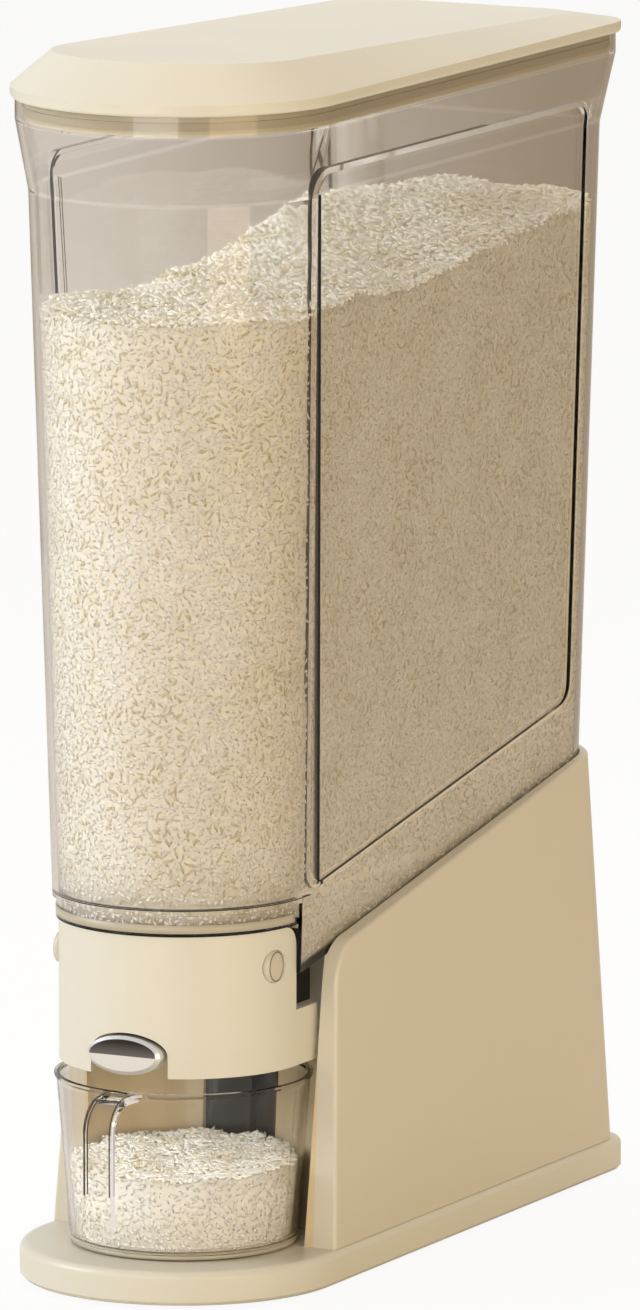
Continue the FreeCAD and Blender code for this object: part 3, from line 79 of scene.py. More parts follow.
print("floor rises to", round(float(floor_z(NOSE_Y + WAIST_BACK)) / MM, 1), "mm at the back")

# %% [markdown]
# ## How high the rice stands
# Rice that is poured in from the back lies in a heap there and runs down to a level in front.
# A simulation of falling grains would be slow and would give the same soft hills, so the level
# is a formula: a height, a smooth step up to the heap, a crown, one shallow dip and a ripple.

# %% Fill level
FILL_Z, HEAP = 374.5 * MM, 11 * MM
HEAP_START, HEAP_TOP = 85 * MM, 235 * MM
DIP, DIP_BEHIND, DIP_REACH = 3.5 * MM, 75 * MM, 50 * MM
CROWN_HALF_WIDTH = 60 * MM
SIDE_TILT = 0.02


def smooth(low, high, value):
    """Rises from 0 to 1 between two values, level at both ends."""
    share = np.clip((value - low) / (high - low), 0, 1)
    return share * share * (3 - 2 * share)


def ripple(x, y):
    """Gentle hills up to a millimetre or two high, from three sine waves that cross."""
    return (
        0.9 * MM * np.sin(95 * x + 61 * y)
        + 0.8 * MM * np.sin(-143 * x + 77 * y + 1.3)
        + 0.6 * MM * np.sin(31 * x - 190 * y + 2.1)
    )


def rice_level(x, y):
    """Height of the poured rice: level in front, heaped behind, with a dip on the left.

    The crown is a parabola across the width, and the dip is a bell curve along the depth.
    """
    behind = y - NOSE_Y
    heap = smooth(HEAP_START, HEAP_TOP, behind)
    crown = (1 + 6 * heap) * MM * (1 - (x / CROWN_HALF_WIDTH) ** 2)
    bell = np.exp(-(((behind - DIP_BEHIND) / DIP_REACH) ** 2))
    dip = DIP * np.clip(-x / WAIST_HALF_WIDTH, 0, 1) * bell
    return FILL_Z + HEAP * heap + crown - dip + SIDE_TILT * x + ripple(x, y)


print("top of the heap:", round(float(rice_level(0.0, NOSE_Y + HEAP_TOP)) / MM, 1), "mm")

# %% [markdown]
# ## The inner face of the hopper
# Seen from above, the bin is a half circle with a box behind it, and the box has two round
# corners. One function gives any point of that outline at any height. A station says how far
# round it lies, so that rings of points and single grains can both be placed with it.

# %% A point on the wall


def wall_point(station, z, inset):
    """Points and outward directions on the hopper's wall, drawn in by an inset.

    A station from 0 to 6 goes once round: 0 to 1 is the round nose from right to left, 1 to 2
    the left side, 2 to 3 its rear corner, 3 to 4 the back, 4 to 5 the other corner and 5 to 6
    the right side, back to the nose. Round parts are a cosine and a sine of the share of the
    part, straight parts are even steps, and the sunk side panels lie a step further in.
    """
    station, z = np.broadcast_arrays(np.asarray(station, float) % 6, np.asarray(z, float))
    wide = taper(WAIST_HALF_WIDTH, SHOULDER_HALF_WIDTH, z) - WALL - inset
    in_band = (station < 1) & (z < BAND_Z + WALL)
    wide = np.where(in_band, np.minimum(wide, BAND_RADIUS - WALL - inset), wide)
    back = taper(WAIST_BACK, SHOULDER_BACK, z) - WALL - inset
    turn = CORNER - WALL - inset
    part = station.astype(int)
    share = station - part
    straight = back - turn
    around = share * math.pi
    bend = share * math.pi / 2
    zero, one = np.zeros_like(z), np.ones_like(z)
    parts = [part == k for k in range(6)]
    left_corner = turn - wide - turn * np.cos(bend)
    right_corner = wide - turn + turn * np.sin(bend)
    rear = (wide - turn) * (2 * share - 1)
    x = np.select(parts, [wide * np.cos(around), -wide, left_corner, rear, right_corner, wide])
    y = np.select(
        parts,
        [
            -wide * np.sin(around),
            share * straight,
            straight + turn * np.sin(bend),
            back,
            straight + turn * np.cos(bend),
            (1 - share) * straight,
        ],
    )
    out_x = np.select(parts, [np.cos(around), -one, -np.cos(bend), zero, np.sin(bend), one])
    out_y = np.select(parts, [-np.sin(around), zero, np.sin(bend), one, np.cos(bend), zero])
    front = PANEL_FRONT - PANEL_LEAN * (z - WAIST_Z) - WALL
    over_floor = z - FLOOR_Z - FLOOR_SLOPE * y
    on_side = (np.abs(out_x) > 0.99) & (over_floor > PANEL_RISE - WALL)
    sunk = on_side & (y > front) & (y < PANEL_BACK + WALL)
    x = x - np.where(sunk, np.sign(out_x) * PANEL_DEPTH, 0)
    return np.stack([x, y + NOSE_Y, z], -1), np.stack([out_x, out_y, zero], -1)


print("inside width at the shoulder:", round(2 * wall_point(0, SHOULDER_Z, 0)[0][0] / MM, 1), "mm")

# %% [markdown]
# ## Mesh helpers
# A closed body could be built from primitives and joined, but most things here are turned or
# lofted. So one helper closes a stack of rings into a solid, another makes a level ring about
# the axis of the cup and the round nose, and both write plain arrays into a mesh.

# %% Rings into a closed solid


def mesh_object(name, points, faces):
    """A smooth-shaded object at the origin from arrays of points and faces."""
    mesh = bpy.data.meshes.new(name)
    mesh.from_pydata(points.tolist(), [], faces.tolist())
    mesh.shade_smooth()
    made = bpy.data.objects.new(name, mesh)
    bpy.context.scene.collection.objects.link(made)
    return made


def ring_solid(name, rings):
    """A closed solid through rings of points, all with the same number of points.

    The first and the last ring have to be drawn in to a line or a point, which closes them.
    """
    rows, count, _ = rings.shape
    row, column = np.meshgrid(np.arange(rows - 1), np.arange(count), indexing="ij")
    here, after = row * count + column, row * count + (column + 1) % count
    faces = np.stack([here, after, after + count, here + count], -1).reshape(-1, 4)
    made = mesh_object(name, rings.reshape(-1, 3), faces)
    print(name, len(faces), "faces")
    return made


def level_ring(radius, z, count=96):
    """A circle of points about the upright axis through the nose: a cosine, a sine, a height."""
    turn = np.arange(count) * 2 * math.pi / count
    return np.column_stack([radius * np.cos(turn), NOSE_Y + radius * np.sin(turn), np.full(count, z)])


# %% [markdown]
# ## One grain of rice
# A short rice grain is 4 to 5 mm long and under 2 mm wide, slightly flat, with one end
# blunter than the other. Loose grains on top get three six-sided rings and two tips. Grains
# that lie flat against a wall show one face only, so a single ring between two tips is enough
# there, and they are nearly flat, which keeps them out of the plastic.

# %% Grain shape
LOOSE = (4.0 * MM, 1.6 * MM, 1.35 * MM)
PRESSED = (3.5 * MM, 1.35 * MM, 0.06 * MM)
SMALL = (3.3 * MM, 1.3 * MM, 1.1 * MM)
GRAIN_SIDES = 6
RINGS_ALONG, RINGS_SWELL = (-0.33, 0.02, 0.35), (0.40, 0.5, 0.36)


def one_grain(loose):
    """Points and triangles of a grain of length, width and depth 1, lying along X.

    Each ring is a circle of six points, swollen by its place along the grain.
    """
    along = np.array(RINGS_ALONG if loose else RINGS_ALONG[1:2])
    swell = np.array(RINGS_SWELL if loose else RINGS_SWELL[1:2])
    angle = np.arange(GRAIN_SIDES) * 2 * math.pi / GRAIN_SIDES
    rings = np.stack(
        [
            np.repeat(along, GRAIN_SIDES),
            np.outer(swell, np.cos(angle)).ravel(),
            np.outer(swell, np.sin(angle)).ravel(),
        ],
        -1,
    )
    points = np.vstack([rings, [[-0.5, 0, 0], [0.5, 0.05, 0]]])
    side = np.arange(GRAIN_SIDES)
    after = (side + 1) % GRAIN_SIDES
    last = len(rings) - GRAIN_SIDES
    faces = [np.stack([np.full(GRAIN_SIDES, len(rings)), after, side], -1)]
    for low in range(0, last, GRAIN_SIDES):
        high = low + GRAIN_SIDES
        faces.append(np.stack([low + side, low + after, high + after], -1))
        faces.append(np.stack([low + side, high + after, high + side], -1))
    faces.append(np.stack([last + side, last + after, np.full(GRAIN_SIDES, len(rings) + 1)], -1))
    return points, np.vstack(faces)


print("triangles of a loose and a pressed grain:", [len(one_grain(kind)[1]) for kind in (True, False)])

# %% [markdown]
# ## The same grain, many times
# Geometry nodes or a particle system could scatter the grains. Plain arrays do it here: each
# grain gets its own frame of three directions, and one product turns the shared shape into
# all of them at once. They end up in a single mesh, because thousands of objects are slow.
# A tone per grain is stored with the points, so that the shader can colour each one.

# %% Grain pile and jittered grid
BROKEN_SHARE, BROKEN_SIZE = 0.14, 0.75
LENGTH_SPREAD, WIDTH_SPREAD = (0.75, 1.12), (0.85, 1.1)
rng = np.random.default_rng(11)


def grain_pile(name, centres, outward, lean, body, size=LOOSE):
    """One mesh of grains that lie along a surface, turned at random and tipped by up to lean.

    A grain's own directions are its long way, its wide way and up, and each point of the
    shared shape is the centre plus its three parts along them.
    """
    count = len(centres)
    spin = rng.uniform(0, 2 * math.pi, count)
    up = outward + rng.normal(0, lean, (count, 3))
    up /= np.linalg.norm(up, axis=1, keepdims=True)
    helper = np.where(np.abs(up[:, 2:]) > 0.9, [[1.0, 0, 0]], [[0, 0, 1.0]])
    first = np.cross(helper, up)
    first /= np.linalg.norm(first, axis=1, keepdims=True)
    second = np.cross(up, first)
    long_way = first * np.cos(spin)[:, None] + second * np.sin(spin)[:, None]
    wide_way = np.cross(up, long_way)
    tone = rng.random(count)
    whole = np.where(tone < BROKEN_SHARE, BROKEN_SIZE, 1.0)[:, None]
    length = size[0] * whole * rng.uniform(*LENGTH_SPREAD, (count, 1))
    width = size[1] * whole * rng.uniform(*WIDTH_SPREAD, (count, 1))
    points, faces = one_grain(size is not PRESSED)
    shaped = (
        centres[:, None]
        + points[:, 0][None, :, None] * (long_way * length)[:, None]
        + points[:, 1][None, :, None] * (wide_way * width)[:, None]
        + points[:, 2][None, :, None] * (up * size[2])[:, None]
    )
    shift = (np.arange(count) * len(points))[:, None, None]
    made = mesh_object(name, shaped.reshape(-1, 3), (faces[None] + shift).reshape(-1, 3))
    attribute = made.data.attributes.new("tone", "FLOAT", "POINT")
    attribute.data.foreach_set("value", np.repeat(tone, len(points)).astype(np.float32))
    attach(made, body)
    print(name, count, "grains")
    return made


def jittered(low, high, step):
    """Points over a rectangle, one at random in each cell of about a step, as two arrays."""
    counts = [max(1, round((b - a) / step)) for a, b in zip(low, high)]
    cell = [(b - a) / n for a, b, n in zip(low, high, counts)]
    first, second = np.meshgrid(*[np.arange(n) for n in counts], indexing="ij")
    jitter = rng.uniform(0.05, 0.95, (2, *first.shape))
    return (
        (low[0] + (first + jitter[0]) * cell[0]).ravel(),
        (low[1] + (second + jitter[1]) * cell[1]).ravel(),
    )


# %% [markdown]
# ## The body of rice in the hopper
# Only the outer grains of a full bin are ever seen. A solid body stands for the thousands
# behind them: rings that follow the walls from the floor to the brim, closed below and above
# by rings drawn in towards the middle line. It sits just behind the outer layer of grains.

# %% The bulk of the rice
BULK_INSET = 0.6 * MM
CAP_RINGS = 12
COUNTS = (60, 120, 10, 30, 10, 120)
STATIONS = np.concatenate([part + np.arange(count) / count for part, count in enumerate(COUNTS)])
SPINE_LENGTH = 220 * MM
FLOOR_GAP, TOP_GAP = 0.4 * MM, 1.1 * MM
FIRST_Z, BRIM_Z = 150 * MM, 378 * MM
STEP_RISES = (0, 9.3, 10.1, 24.8, 26.0, 27.4, 29.0)


def drawn_in(outline, share):
    """An outline shrunk towards the middle line of the hopper, which keeps it inside."""
    spine = np.clip(outline[:, 1], NOSE_Y, NOSE_Y + SPINE_LENGTH)
    middle = np.stack([np.zeros_like(spine), spine], -1)
    return middle + (outline[:, :2] - middle) * share


shares = np.linspace(0, 1, CAP_RINGS, endpoint=False)
foot, _ = wall_point(STATIONS, FIRST_Z, BULK_INSET)
foot, _ = wall_point(STATIONS, floor_z(foot[:, 1]), BULK_INSET)
brim, _ = wall_point(STATIONS, BRIM_Z, BULK_INSET)
brim_z = rice_level(brim[:, 0], brim[:, 1]) - 1 * MM
foot_z = floor_z(foot[:, 1]) + FLOOR_GAP
rings = []
for share in shares:
    flat = drawn_in(foot, share)
    rings.append(np.column_stack([flat, floor_z(flat[:, 1]) + FLOOR_GAP]))
for rise in STEP_RISES:
    rings.append(wall_point(STATIONS, foot_z + rise * MM, BULK_INSET)[0])
for share in np.linspace(0.3, 1.0, 16):
    rings.append(wall_point(STATIONS, foot_z + (brim_z - foot_z) * share, BULK_INSET)[0])
for share in shares[::-1]:
    flat = drawn_in(brim, share)
    rings.append(np.column_stack([flat, rice_level(flat[:, 0], flat[:, 1]) - TOP_GAP]))
rice_bulk = ring_solid("rice_bulk", np.array(rings))
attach(rice_bulk, "hopper")

# %% [markdown]
# ## Grains against the walls
# Where rice lies against clear plastic, its grains are pressed flat and read as a fine mottled
# sheet. A picture on the wall would repeat and look painted, so the sheet is made of grains.
# They stop at the level of the rice, above the floor, and leave the step of the band free.

# %% The outer layer of grains
WALL_STEP = 2.2 * MM
LAYER_LOW, LAYER_HIGH = 118 * MM, 402 * MM
NOSE_LENGTH = math.pi * 51 * MM
SIDE_LENGTH = 237 * MM
BACK_LENGTH = 130 * MM
FLAT_LEAN = 0.02
rice_pieces = []


def wall_layer(name, start, stop, length):
    """Grains pressed against the wall between two stations that lie a length apart."""
    along, z = jittered((0, LAYER_LOW), (length, LAYER_HIGH), WALL_STEP)
    station = start + (stop - start) * along / length
    inset = rng.uniform(0.44, 0.57, len(z)) * MM
    centres, outward = wall_point(station, z, inset)
    level = rice_level(centres[:, 0], centres[:, 1])
    kept = (z < level) & (z > floor_z(centres[:, 1]) + 1 * MM) & (np.abs(z - BAND_Z) > 1.2 * MM)
    return grain_pile(name, centres[kept], outward[kept], FLAT_LEAN, "hopper", PRESSED)


rice_pieces.append(wall_layer("rice_nose", 0, 1, NOSE_LENGTH))
rice_pieces.append(wall_layer("rice_left", 1, 2, SIDE_LENGTH))
rice_pieces.append(wall_layer("rice_back", 2, 5, BACK_LENGTH))
rice_pieces.append(wall_layer("rice_right", 5, 6, SIDE_LENGTH))

# %% [markdown]
# ## Loose grains on top
# On top the grains lie at all angles, and their dark gaps make the surface sparkle. They are spread over
# a rectangle, and those outside the bin are dropped. The heap is two pieces, front and rear, because one
# mesh of all its grains would be too heavy.

# %% The top of the heap
TOP_STEP = 1.8 * MM
TOP_INSET = 1.2 * MM
HEAP_LEAN = 0.3


def inside_hopper(x, y):
    """True where a place lies within the inside outline of the hopper, at the brim.

    In front that is a half circle, and behind it a box with the corners cut round.
    """
    edge, _ = wall_point(STATIONS, BRIM_Z, TOP_INSET)
    half_width, reach_back = edge[:, 0].max(), edge[:, 1].max()
    behind = y - NOSE_Y
    corner = CORNER - WALL
    over_side = np.maximum(np.abs(x) - half_width + corner, 0)
    over_back = np.maximum(y - reach_back + corner, 0)
    in_nose = (behind < 0) & (np.hypot(x, behind) < half_width)
    in_box = (behind >= 0) & (np.abs(x) < half_width) & (y < reach_back)
    return in_nose | (in_box & (np.hypot(over_side, over_back) < corner))


x, y = jittered((-55 * MM, -150 * MM), (55 * MM, 154 * MM), TOP_STEP)
inside = inside_hopper(x, y)
x, y = x[inside], y[inside]
top = np.stack([x, y, rice_level(x, y) + rng.uniform(-1.1, 0.9, len(x)) * MM], -1)
for name, part in (("front_rice_top", y < 0), ("rear_rice_top", y >= 0)):
    upward = np.tile([0.0, 0.0, 1.0], (part.sum(), 1))
    rice_pieces.append(grain_pile(name, top[part], upward, HEAP_LEAN, "hopper"))

# %% [markdown]
# ## Rice in the cup
# The cup holds one measure and is nearly half full. The rice is a body turned about the cup's
# axis, with its own layers of grains. It rides the cup, so that it comes out with it.

# %% Cup filling
CUP_FLOOR_Z, CUP_TOP_Z = 17.9 * MM, 80.2 * MM
CUP_BASE_RADIUS, CUP_RIM_RADIUS = 41.6 * MM, 47.4 * MM
CUP_FILL = 47 * MM


def cup_radius(z):
    """Inside radius of the cup, which grows evenly from its floor to its brim."""
    share = (z - CUP_FLOOR_Z) / (CUP_TOP_Z - CUP_FLOOR_Z)
    return CUP_BASE_RADIUS + (CUP_RIM_RADIUS - CUP_BASE_RADIUS) * share


def cup_level(x, y):
    """Height of the rice in the cup: nearly flat, higher behind, with small hills."""
    return CUP_FILL + 0.03 * (y - NOSE_Y) + 0.5 * ripple(2.2 * x, 2.2 * y)


low_z = CUP_FLOOR_Z + FLOOR_GAP
low_radius = CUP_BASE_RADIUS - BULK_INSET
rings = [level_ring(radius, low_z) for radius in (0, low_radius - 1 * MM)]
rings.append(level_ring(low_radius, low_z + 0.8 * MM))
for share in np.linspace(1, 0, CAP_RINGS):
    ring = level_ring((cup_radius(46 * MM) - BULK_INSET) * share, 0)
    ring[:, 2] = cup_level(ring[:, 0], ring[:, 1]) - 1 * MM
    rings.append(ring)
cup_bulk = ring_solid("cup_rice_bulk", np.array(rings))
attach(cup_bulk, "cup")

# %% [markdown]
# ## Grains in the cup
# The two layers are made as in the hopper: grains pressed against the round wall, and loose
# ones on top. One measure lies flatter than a heap, so its loose grains are tipped less, and
# they are a little smaller, which keeps its low surface fine.

# %% Cup grains
CUP_TOP_STEP = 1.7 * MM
CUP_LEAN = 0.16
side_low, side_high = CUP_FLOOR_Z + 1 * MM, 52 * MM
along, z = jittered((0, side_low), (2 * math.pi * CUP_BASE_RADIUS, side_high), WALL_STEP)
angle = along / CUP_BASE_RADIUS
outward = np.stack([np.cos(angle), np.sin(angle), np.zeros_like(angle)], -1)
radius = cup_radius(z) - rng.uniform(0.45, 0.58, len(z)) * MM
centres = outward * radius[:, None] + np.stack([0 * z, 0 * z + NOSE_Y, z], -1)
kept = z < cup_level(centres[:, 0], centres[:, 1])
side_grains = grain_pile("cup_rice_side", centres[kept], outward[kept], FLAT_LEAN, "cup", PRESSED)
rice_pieces.append(side_grains)

x, y = jittered((-46 * MM, -46 * MM), (46 * MM, 46 * MM), CUP_TOP_STEP)
inside = np.hypot(x, y) < cup_radius(CUP_FILL) - 1.6 * MM
x, y = x[inside], y[inside] + NOSE_Y
top = np.stack([x, y, cup_level(x, y) + rng.uniform(-0.6, 0.2, len(x)) * MM], -1)
upward = np.tile([0.0, 0.0, 1.0], (len(x), 1))
rice_pieces.append(grain_pile("cup_rice_top", top, upward, CUP_LEAN, "cup", SMALL))

# %% [markdown]
# ## Ends of the snap pegs
# Two round pegs hold the cover. Their ends are slightly crowned and frosted, so that they show
# as pale ovals in the cream wall. Each is a closed cap over the clear peg, just inside its
# hole: rings about the peg's own axis, whose rise and spread follow a short list.

# %% Peg ends
PEG_RADIUS, PEG_X, PEG_Y, PEG_Z = 6.15 * MM, 46.2 * MM, -12.7 * MM, 126.5 * MM
CROWN = [(-3.2, 0.0), (-3.2, 1.0), (0.0, 1.0), (0.2, 0.9), (0.36, 0.6), (0.43, 0.3), (0.45, 0.0)]
PEG_POINTS = 40
peg_ends = []
turn = np.arange(PEG_POINTS) * 2 * math.pi / PEG_POINTS
for name, side in (("peg_end_left", -1), ("peg_end_right", 1)):
    rings = [
        np.column_stack(
            [
                np.full(PEG_POINTS, side * (PEG_X + rise * MM)),
                NOSE_Y + PEG_Y + side * spread * PEG_RADIUS * np.cos(turn),
                PEG_Z + spread * PEG_RADIUS * np.sin(turn),
            ]
        )
        for rise, spread in CROWN
    ]
    end = ring_solid(name, np.array(rings))
    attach(end, "hopper")
    peg_ends.append(end)

# %% [markdown]
# ## Two moulded edges
# The outlet housing ends in a thin flange just over the cover, and the cup has a thick floor.
# Both edges look pale in the light, where the clear plastic here would show dark. A roughness mask can't
# brighten clear plastic enough, so each edge gets a thin pale solid of its own, a painted highlight: a
# strip along the rim of the flange, and a disc inside the cup's floor.

# %% Flange strip
FLANGE_LOW, FLANGE_HIGH = 142.0 * MM, 145.3 * MM
STRIP_INNER, STRIP_OUTER = BAND_RADIUS + 0.02 * MM, BAND_RADIUS + 0.12 * MM
turn = np.linspace(math.radians(-178), math.radians(-2), 90)
section = [
    (STRIP_INNER, FLANGE_LOW),
    (STRIP_OUTER, FLANGE_LOW),
    (STRIP_OUTER, FLANGE_HIGH),
    (STRIP_INNER, FLANGE_HIGH),
]
strip = [
    np.column_stack([radius * np.cos(turn), NOSE_Y + radius * np.sin(turn), np.full(len(turn), z)])
    for radius, z in section
]
rings = np.stack(strip, 1)
ends = [np.repeat(ring.mean(0)[None], len(section), 0) for ring in (rings[0], rings[-1])]
flange_strip = ring_solid("flange_strip", np.concatenate([ends[:1], rings, ends[1:]]))
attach(flange_strip, "hopper")

# %% [markdown]
# The disc is turned from four points: the middle and the edge of its underside, then the edge
# and the middle of its upper side.

# %% Cup floor disc
FLOOR_DISC = [(0.0, 15.2), (43.2, 15.2), (43.4, 16.8), (0.0, 16.8)]
rings = [level_ring(radius * MM, z * MM) for radius, z in FLOOR_DISC]
cup_floor_disc = ring_solid("cup_floor_disc", np.array(rings))
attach(cup_floor_disc, "cup")

# %% [markdown]
# ## Shader helpers
# A node graph written socket by socket is long and hard to follow. The helpers below add one
# node and connect it in the same call, so that each effect reads as a short recipe.

# %% Nodes in one call


def add(tree, kind, sockets=None, **settings):
    """A shader node. sockets gives a value, or another node's output, for some of its inputs."""
    made = tree.nodes.new("ShaderNode" + kind)
    for name, value in settings.items():
        setattr(made, name, value)
    for name, value in (sockets or {}).items():
        if isinstance(value, bpy.types.NodeSocket):
            tree.links.new(value, made.inputs[name])
        else:
            made.inputs[name].default_value = value
    return made


def calc(tree, operation, *values):
    """The result of a Math node."""
    return add(tree, "Math", dict(enumerate(values)), operation=operation).outputs[0]


def remap(tree, value, low, high, new_low, new_high):
    """A value moved from one range to another, and held at its ends."""
    return add(tree, "MapRange", {0: value, 1: low, 2: high, 3: new_low, 4: new_high}).outputs[0]


def blend_colours(tree, share, first, second):
    """A colour between two colours."""
    mix = add(tree, "Mix", {0: share, 6: first, 7: second}, data_type="RGBA")
    return mix.outputs[2]


def object_place(tree):
    """The Object coordinates as one vector."""
    return add(tree, "TexCoord").outputs["Object"]


def split_place(tree):
    """The Object coordinates as three values: across, along and up."""
    return add(tree, "SeparateXYZ", {0: object_place(tree)}).outputs


def noise(tree, scale, detail):
    """Soft noise between 0 and 1, with about scale bumps to the metre."""
    sockets = {"Vector": object_place(tree), "Scale": scale, "Detail": detail}
    return add(tree, "TexNoise", sockets).outputs[0]


# %% [markdown]
# ## Masks
# A mask is a value that is 1 on a part of a surface and 0 elsewhere. Painting one needs a
# texture. On moulded pieces the parts are bounded by planes and circles, so a few small
# comparisons of the place on the piece give a mask that is sharp at any distance.

# %% Mask helpers


def above(tree, value, limit):
    """1 where a value is above a limit."""
    return calc(tree, "GREATER_THAN", value, limit)


def below(tree, value, limit):
    """1 where a value is below a limit."""
    return calc(tree, "LESS_THAN", value, limit)


def near(tree, value, centre, half):
    """1 where a value lies within a half width of a centre."""
    return calc(tree, "COMPARE", value, centre, half)


def every(tree, *masks):
    """1 where all masks are 1, which is their product."""
    result = masks[0]
    for mask in masks[1:]:
        result = calc(tree, "MULTIPLY", result, mask)
    return result


def either(tree, *masks):
    """1 where any mask is 1, which is the largest of them."""
    result = masks[0]
    for mask in masks[1:]:
        result = calc(tree, "MAXIMUM", result, mask)
    return result


def sum_of_squares(tree, first, second):
    """The sum of two squares: 1 on an ellipse whose half axes divide the two values."""
    return calc(tree, "ADD", calc(tree, "POWER", first, 2.0), calc(tree, "POWER", second, 2.0))


# %% [markdown]
# ## Groups and materials
# An effect that several materials share is built once, as a group with named inputs and
# outputs. Each material then places the group, gives it its own values and connects it.

# %% Group and material helpers


def new_group(name, inputs, outputs):
    """An empty shader node group, with its input values and its output node."""
    tree = bpy.data.node_groups.new(name, "ShaderNodeTree")
    for way, sockets in (("INPUT", inputs), ("OUTPUT", outputs)):
        for label, kind in sockets.items():
            tree.interface.new_socket(label, in_out=way, socket_type="NodeSocket" + kind)
    given = tree.nodes.new("NodeGroupInput").outputs if inputs else None
    return tree, given, tree.nodes.new("NodeGroupOutput")


def new_material(name, **settings):
    """A material with its node tree and its Principled shader, and some of the shader's values."""
    material = bpy.data.materials.new(name)
    material.use_nodes = True
    tree = material.node_tree
    shader = tree.nodes["Principled BSDF"]
    for label, value in settings.items():
        shader.inputs[label.replace("_", " ")].default_value = value
    return material, tree, shader


def use_group(tree, group, values=None):
    """The outputs of a group placed in a material with its own values."""
    node = tree.nodes.new("ShaderNodeGroup")
    node.node_tree = group
    for label, value in (values or {}).items():
        node.inputs[label].default_value = value
    return node.outputs


def connect(tree, shader, **outputs):
    """Connects outputs to the shader's inputs of the same names."""
    for label, output in outputs.items():
        tree.links.new(output, shader.inputs[label.replace("_", " ")])


def recolour(material, mask, colour):
    """Gives a material another colour where a mask is 1."""
    tree = material.node_tree
    socket = tree.nodes["Principled BSDF"].inputs["Base Color"]
    before = socket.links[0].from_socket
    tree.links.new(blend_colours(tree, mask, before, colour), socket)


# %% [markdown]
# ## Moulded plastic and metal
# Moulded plastic is never one flat colour. A fine orange-peel ripple breaks up its
# reflections, and handling leaves patches that shine a little more or less. Plated metal
# drifts in the same way. The group gives a colour and a roughness between two values each,
# and a normal, and each material has its own shades.

# %% Finish that drifts
drift_finish, given, out = new_group(
    "drift_finish",
    {"Low Color": "Color", "High Color": "Color", "Low Roughness": "Float", "High Roughness": "Float"},
    {"Color": "Color", "Roughness": "Float", "Normal": "Vector"},
)
tree = drift_finish
patches = noise(tree, 14.0, 3.0)
peel = add(tree, "Bump", {"Strength": 0.06, "Distance": 0.0002, "Height": noise(tree, 900.0, 2.0)})
shade = blend_colours(tree, patches, given["Low Color"], given["High Color"])
rough = remap(tree, patches, 0.3, 0.7, given["Low Roughness"], given["High Roughness"])
connect(tree, out, Color=shade, Roughness=rough, Normal=peel.outputs[0])


def drifting(name, low, high, smoothest, roughest, **settings):
    """A material whose colour and shine drift between two values."""
    material, tree, shader = new_material(name, **settings)
    values = {"Low Color": low, "High Color": high}
    values.update({"Low Roughness": smoothest, "High Roughness": roughest})
    finish = use_group(tree, drift_finish, values)
    connect(
        tree,
        shader,
        Base_Color=finish["Color"],
        Roughness=finish["Roughness"],
        Normal=finish["Normal"],
    )
    return material


def plastic(name, low, high):
    """A moulded plastic with a soft sheen."""
    return drifting(name, low, high, 0.30, 0.42)


def metal(name, low, high, roughness):
    """A metal whose dullest patches are rougher by more than half."""
    return drifting(name, low, high, roughness, roughness * 1.6, Metallic=1.0)


cream = plastic("cream_plastic", (0.695, 0.68, 0.59, 1), (0.725, 0.71, 0.625, 1))
insert = plastic("lid_insert_plastic", (0.52, 0.46, 0.335, 1), (0.58, 0.52, 0.385, 1))
smoke = plastic("smoke_plastic", (0.006, 0.005, 0.004, 1), (0.014, 0.011, 0.009, 1))
# Pale plastic for the two edge solids, a painted highlight where those edges catch the light.
edge_highlight = plastic("edge_highlight_plastic", (0.46, 0.42, 0.33, 1), (0.52, 0.48, 0.38, 1))
print("plastics:", cream.name, insert.name, smoke.name, edge_highlight.name)

# %% [markdown]
# ## The stand
# The stand is a slightly darker, warmer copy of the cream, which is painted shade: its side faces away
# from the key lamp. Light that reaches the round pocket behind the cup has bounced off cream walls more
# than once, so the pocket reads as tan. Many bounces cost time and bring noise, so the tan is a mask of
# painted bounce light: all that lies within a radius of the cup's axis.

# %% Stand plastic
POCKET_RADIUS = 52 * MM
# Painted shade: a darker, warmer copy of the cream for the stand's shaded side.
stand_cream = plastic("stand_plastic", (0.665, 0.62, 0.505, 1), (0.695, 0.65, 0.54, 1))
tree = stand_cream.node_tree
across, along, up = split_place(tree)
from_axis = calc(tree, "SQRT", sum_of_squares(tree, across, calc(tree, "SUBTRACT", along, NOSE_Y)))
# Painted bounce light: all within a radius of the cup's axis turns tan.
recolour(stand_cream, below(tree, from_axis, POCKET_RADIUS), (0.70, 0.57, 0.36, 1))
print("stand:", stand_cream.name)

# %% [markdown]
# ## The lines in the hopper
# Steps and edges of a clear moulding catch the light as a dark line with a bright one beside it. On the
# hopper they run round the sunk side panels, up the wall where the nose turns into the side, round the
# band at its foot, and along the cover. Some could come from ray-traced edges alone, but those are too
# thin to show, so each line is also a mask, which paints the shade of the dark line and the highlight of
# the bright one. This step works out the planes. The outline of a panel is the largest of three
# distances, to its front, its rear and its foot, with a soft maximum for the round corners.

# %% Planes of the hopper's lines
SHADE_FRONT = 17.8 * MM
SHADE_LEAN = 0.0546
PANEL_ROUNDING = 16 * MM
SIDE_LINE_X = 46 * MM
SEAT_Z, LEDGE_LINE_Z = 140.9 * MM, 142.5 * MM
RIM_LINE_Z, PANEL_TOP_Z = 446.8 * MM, 428 * MM

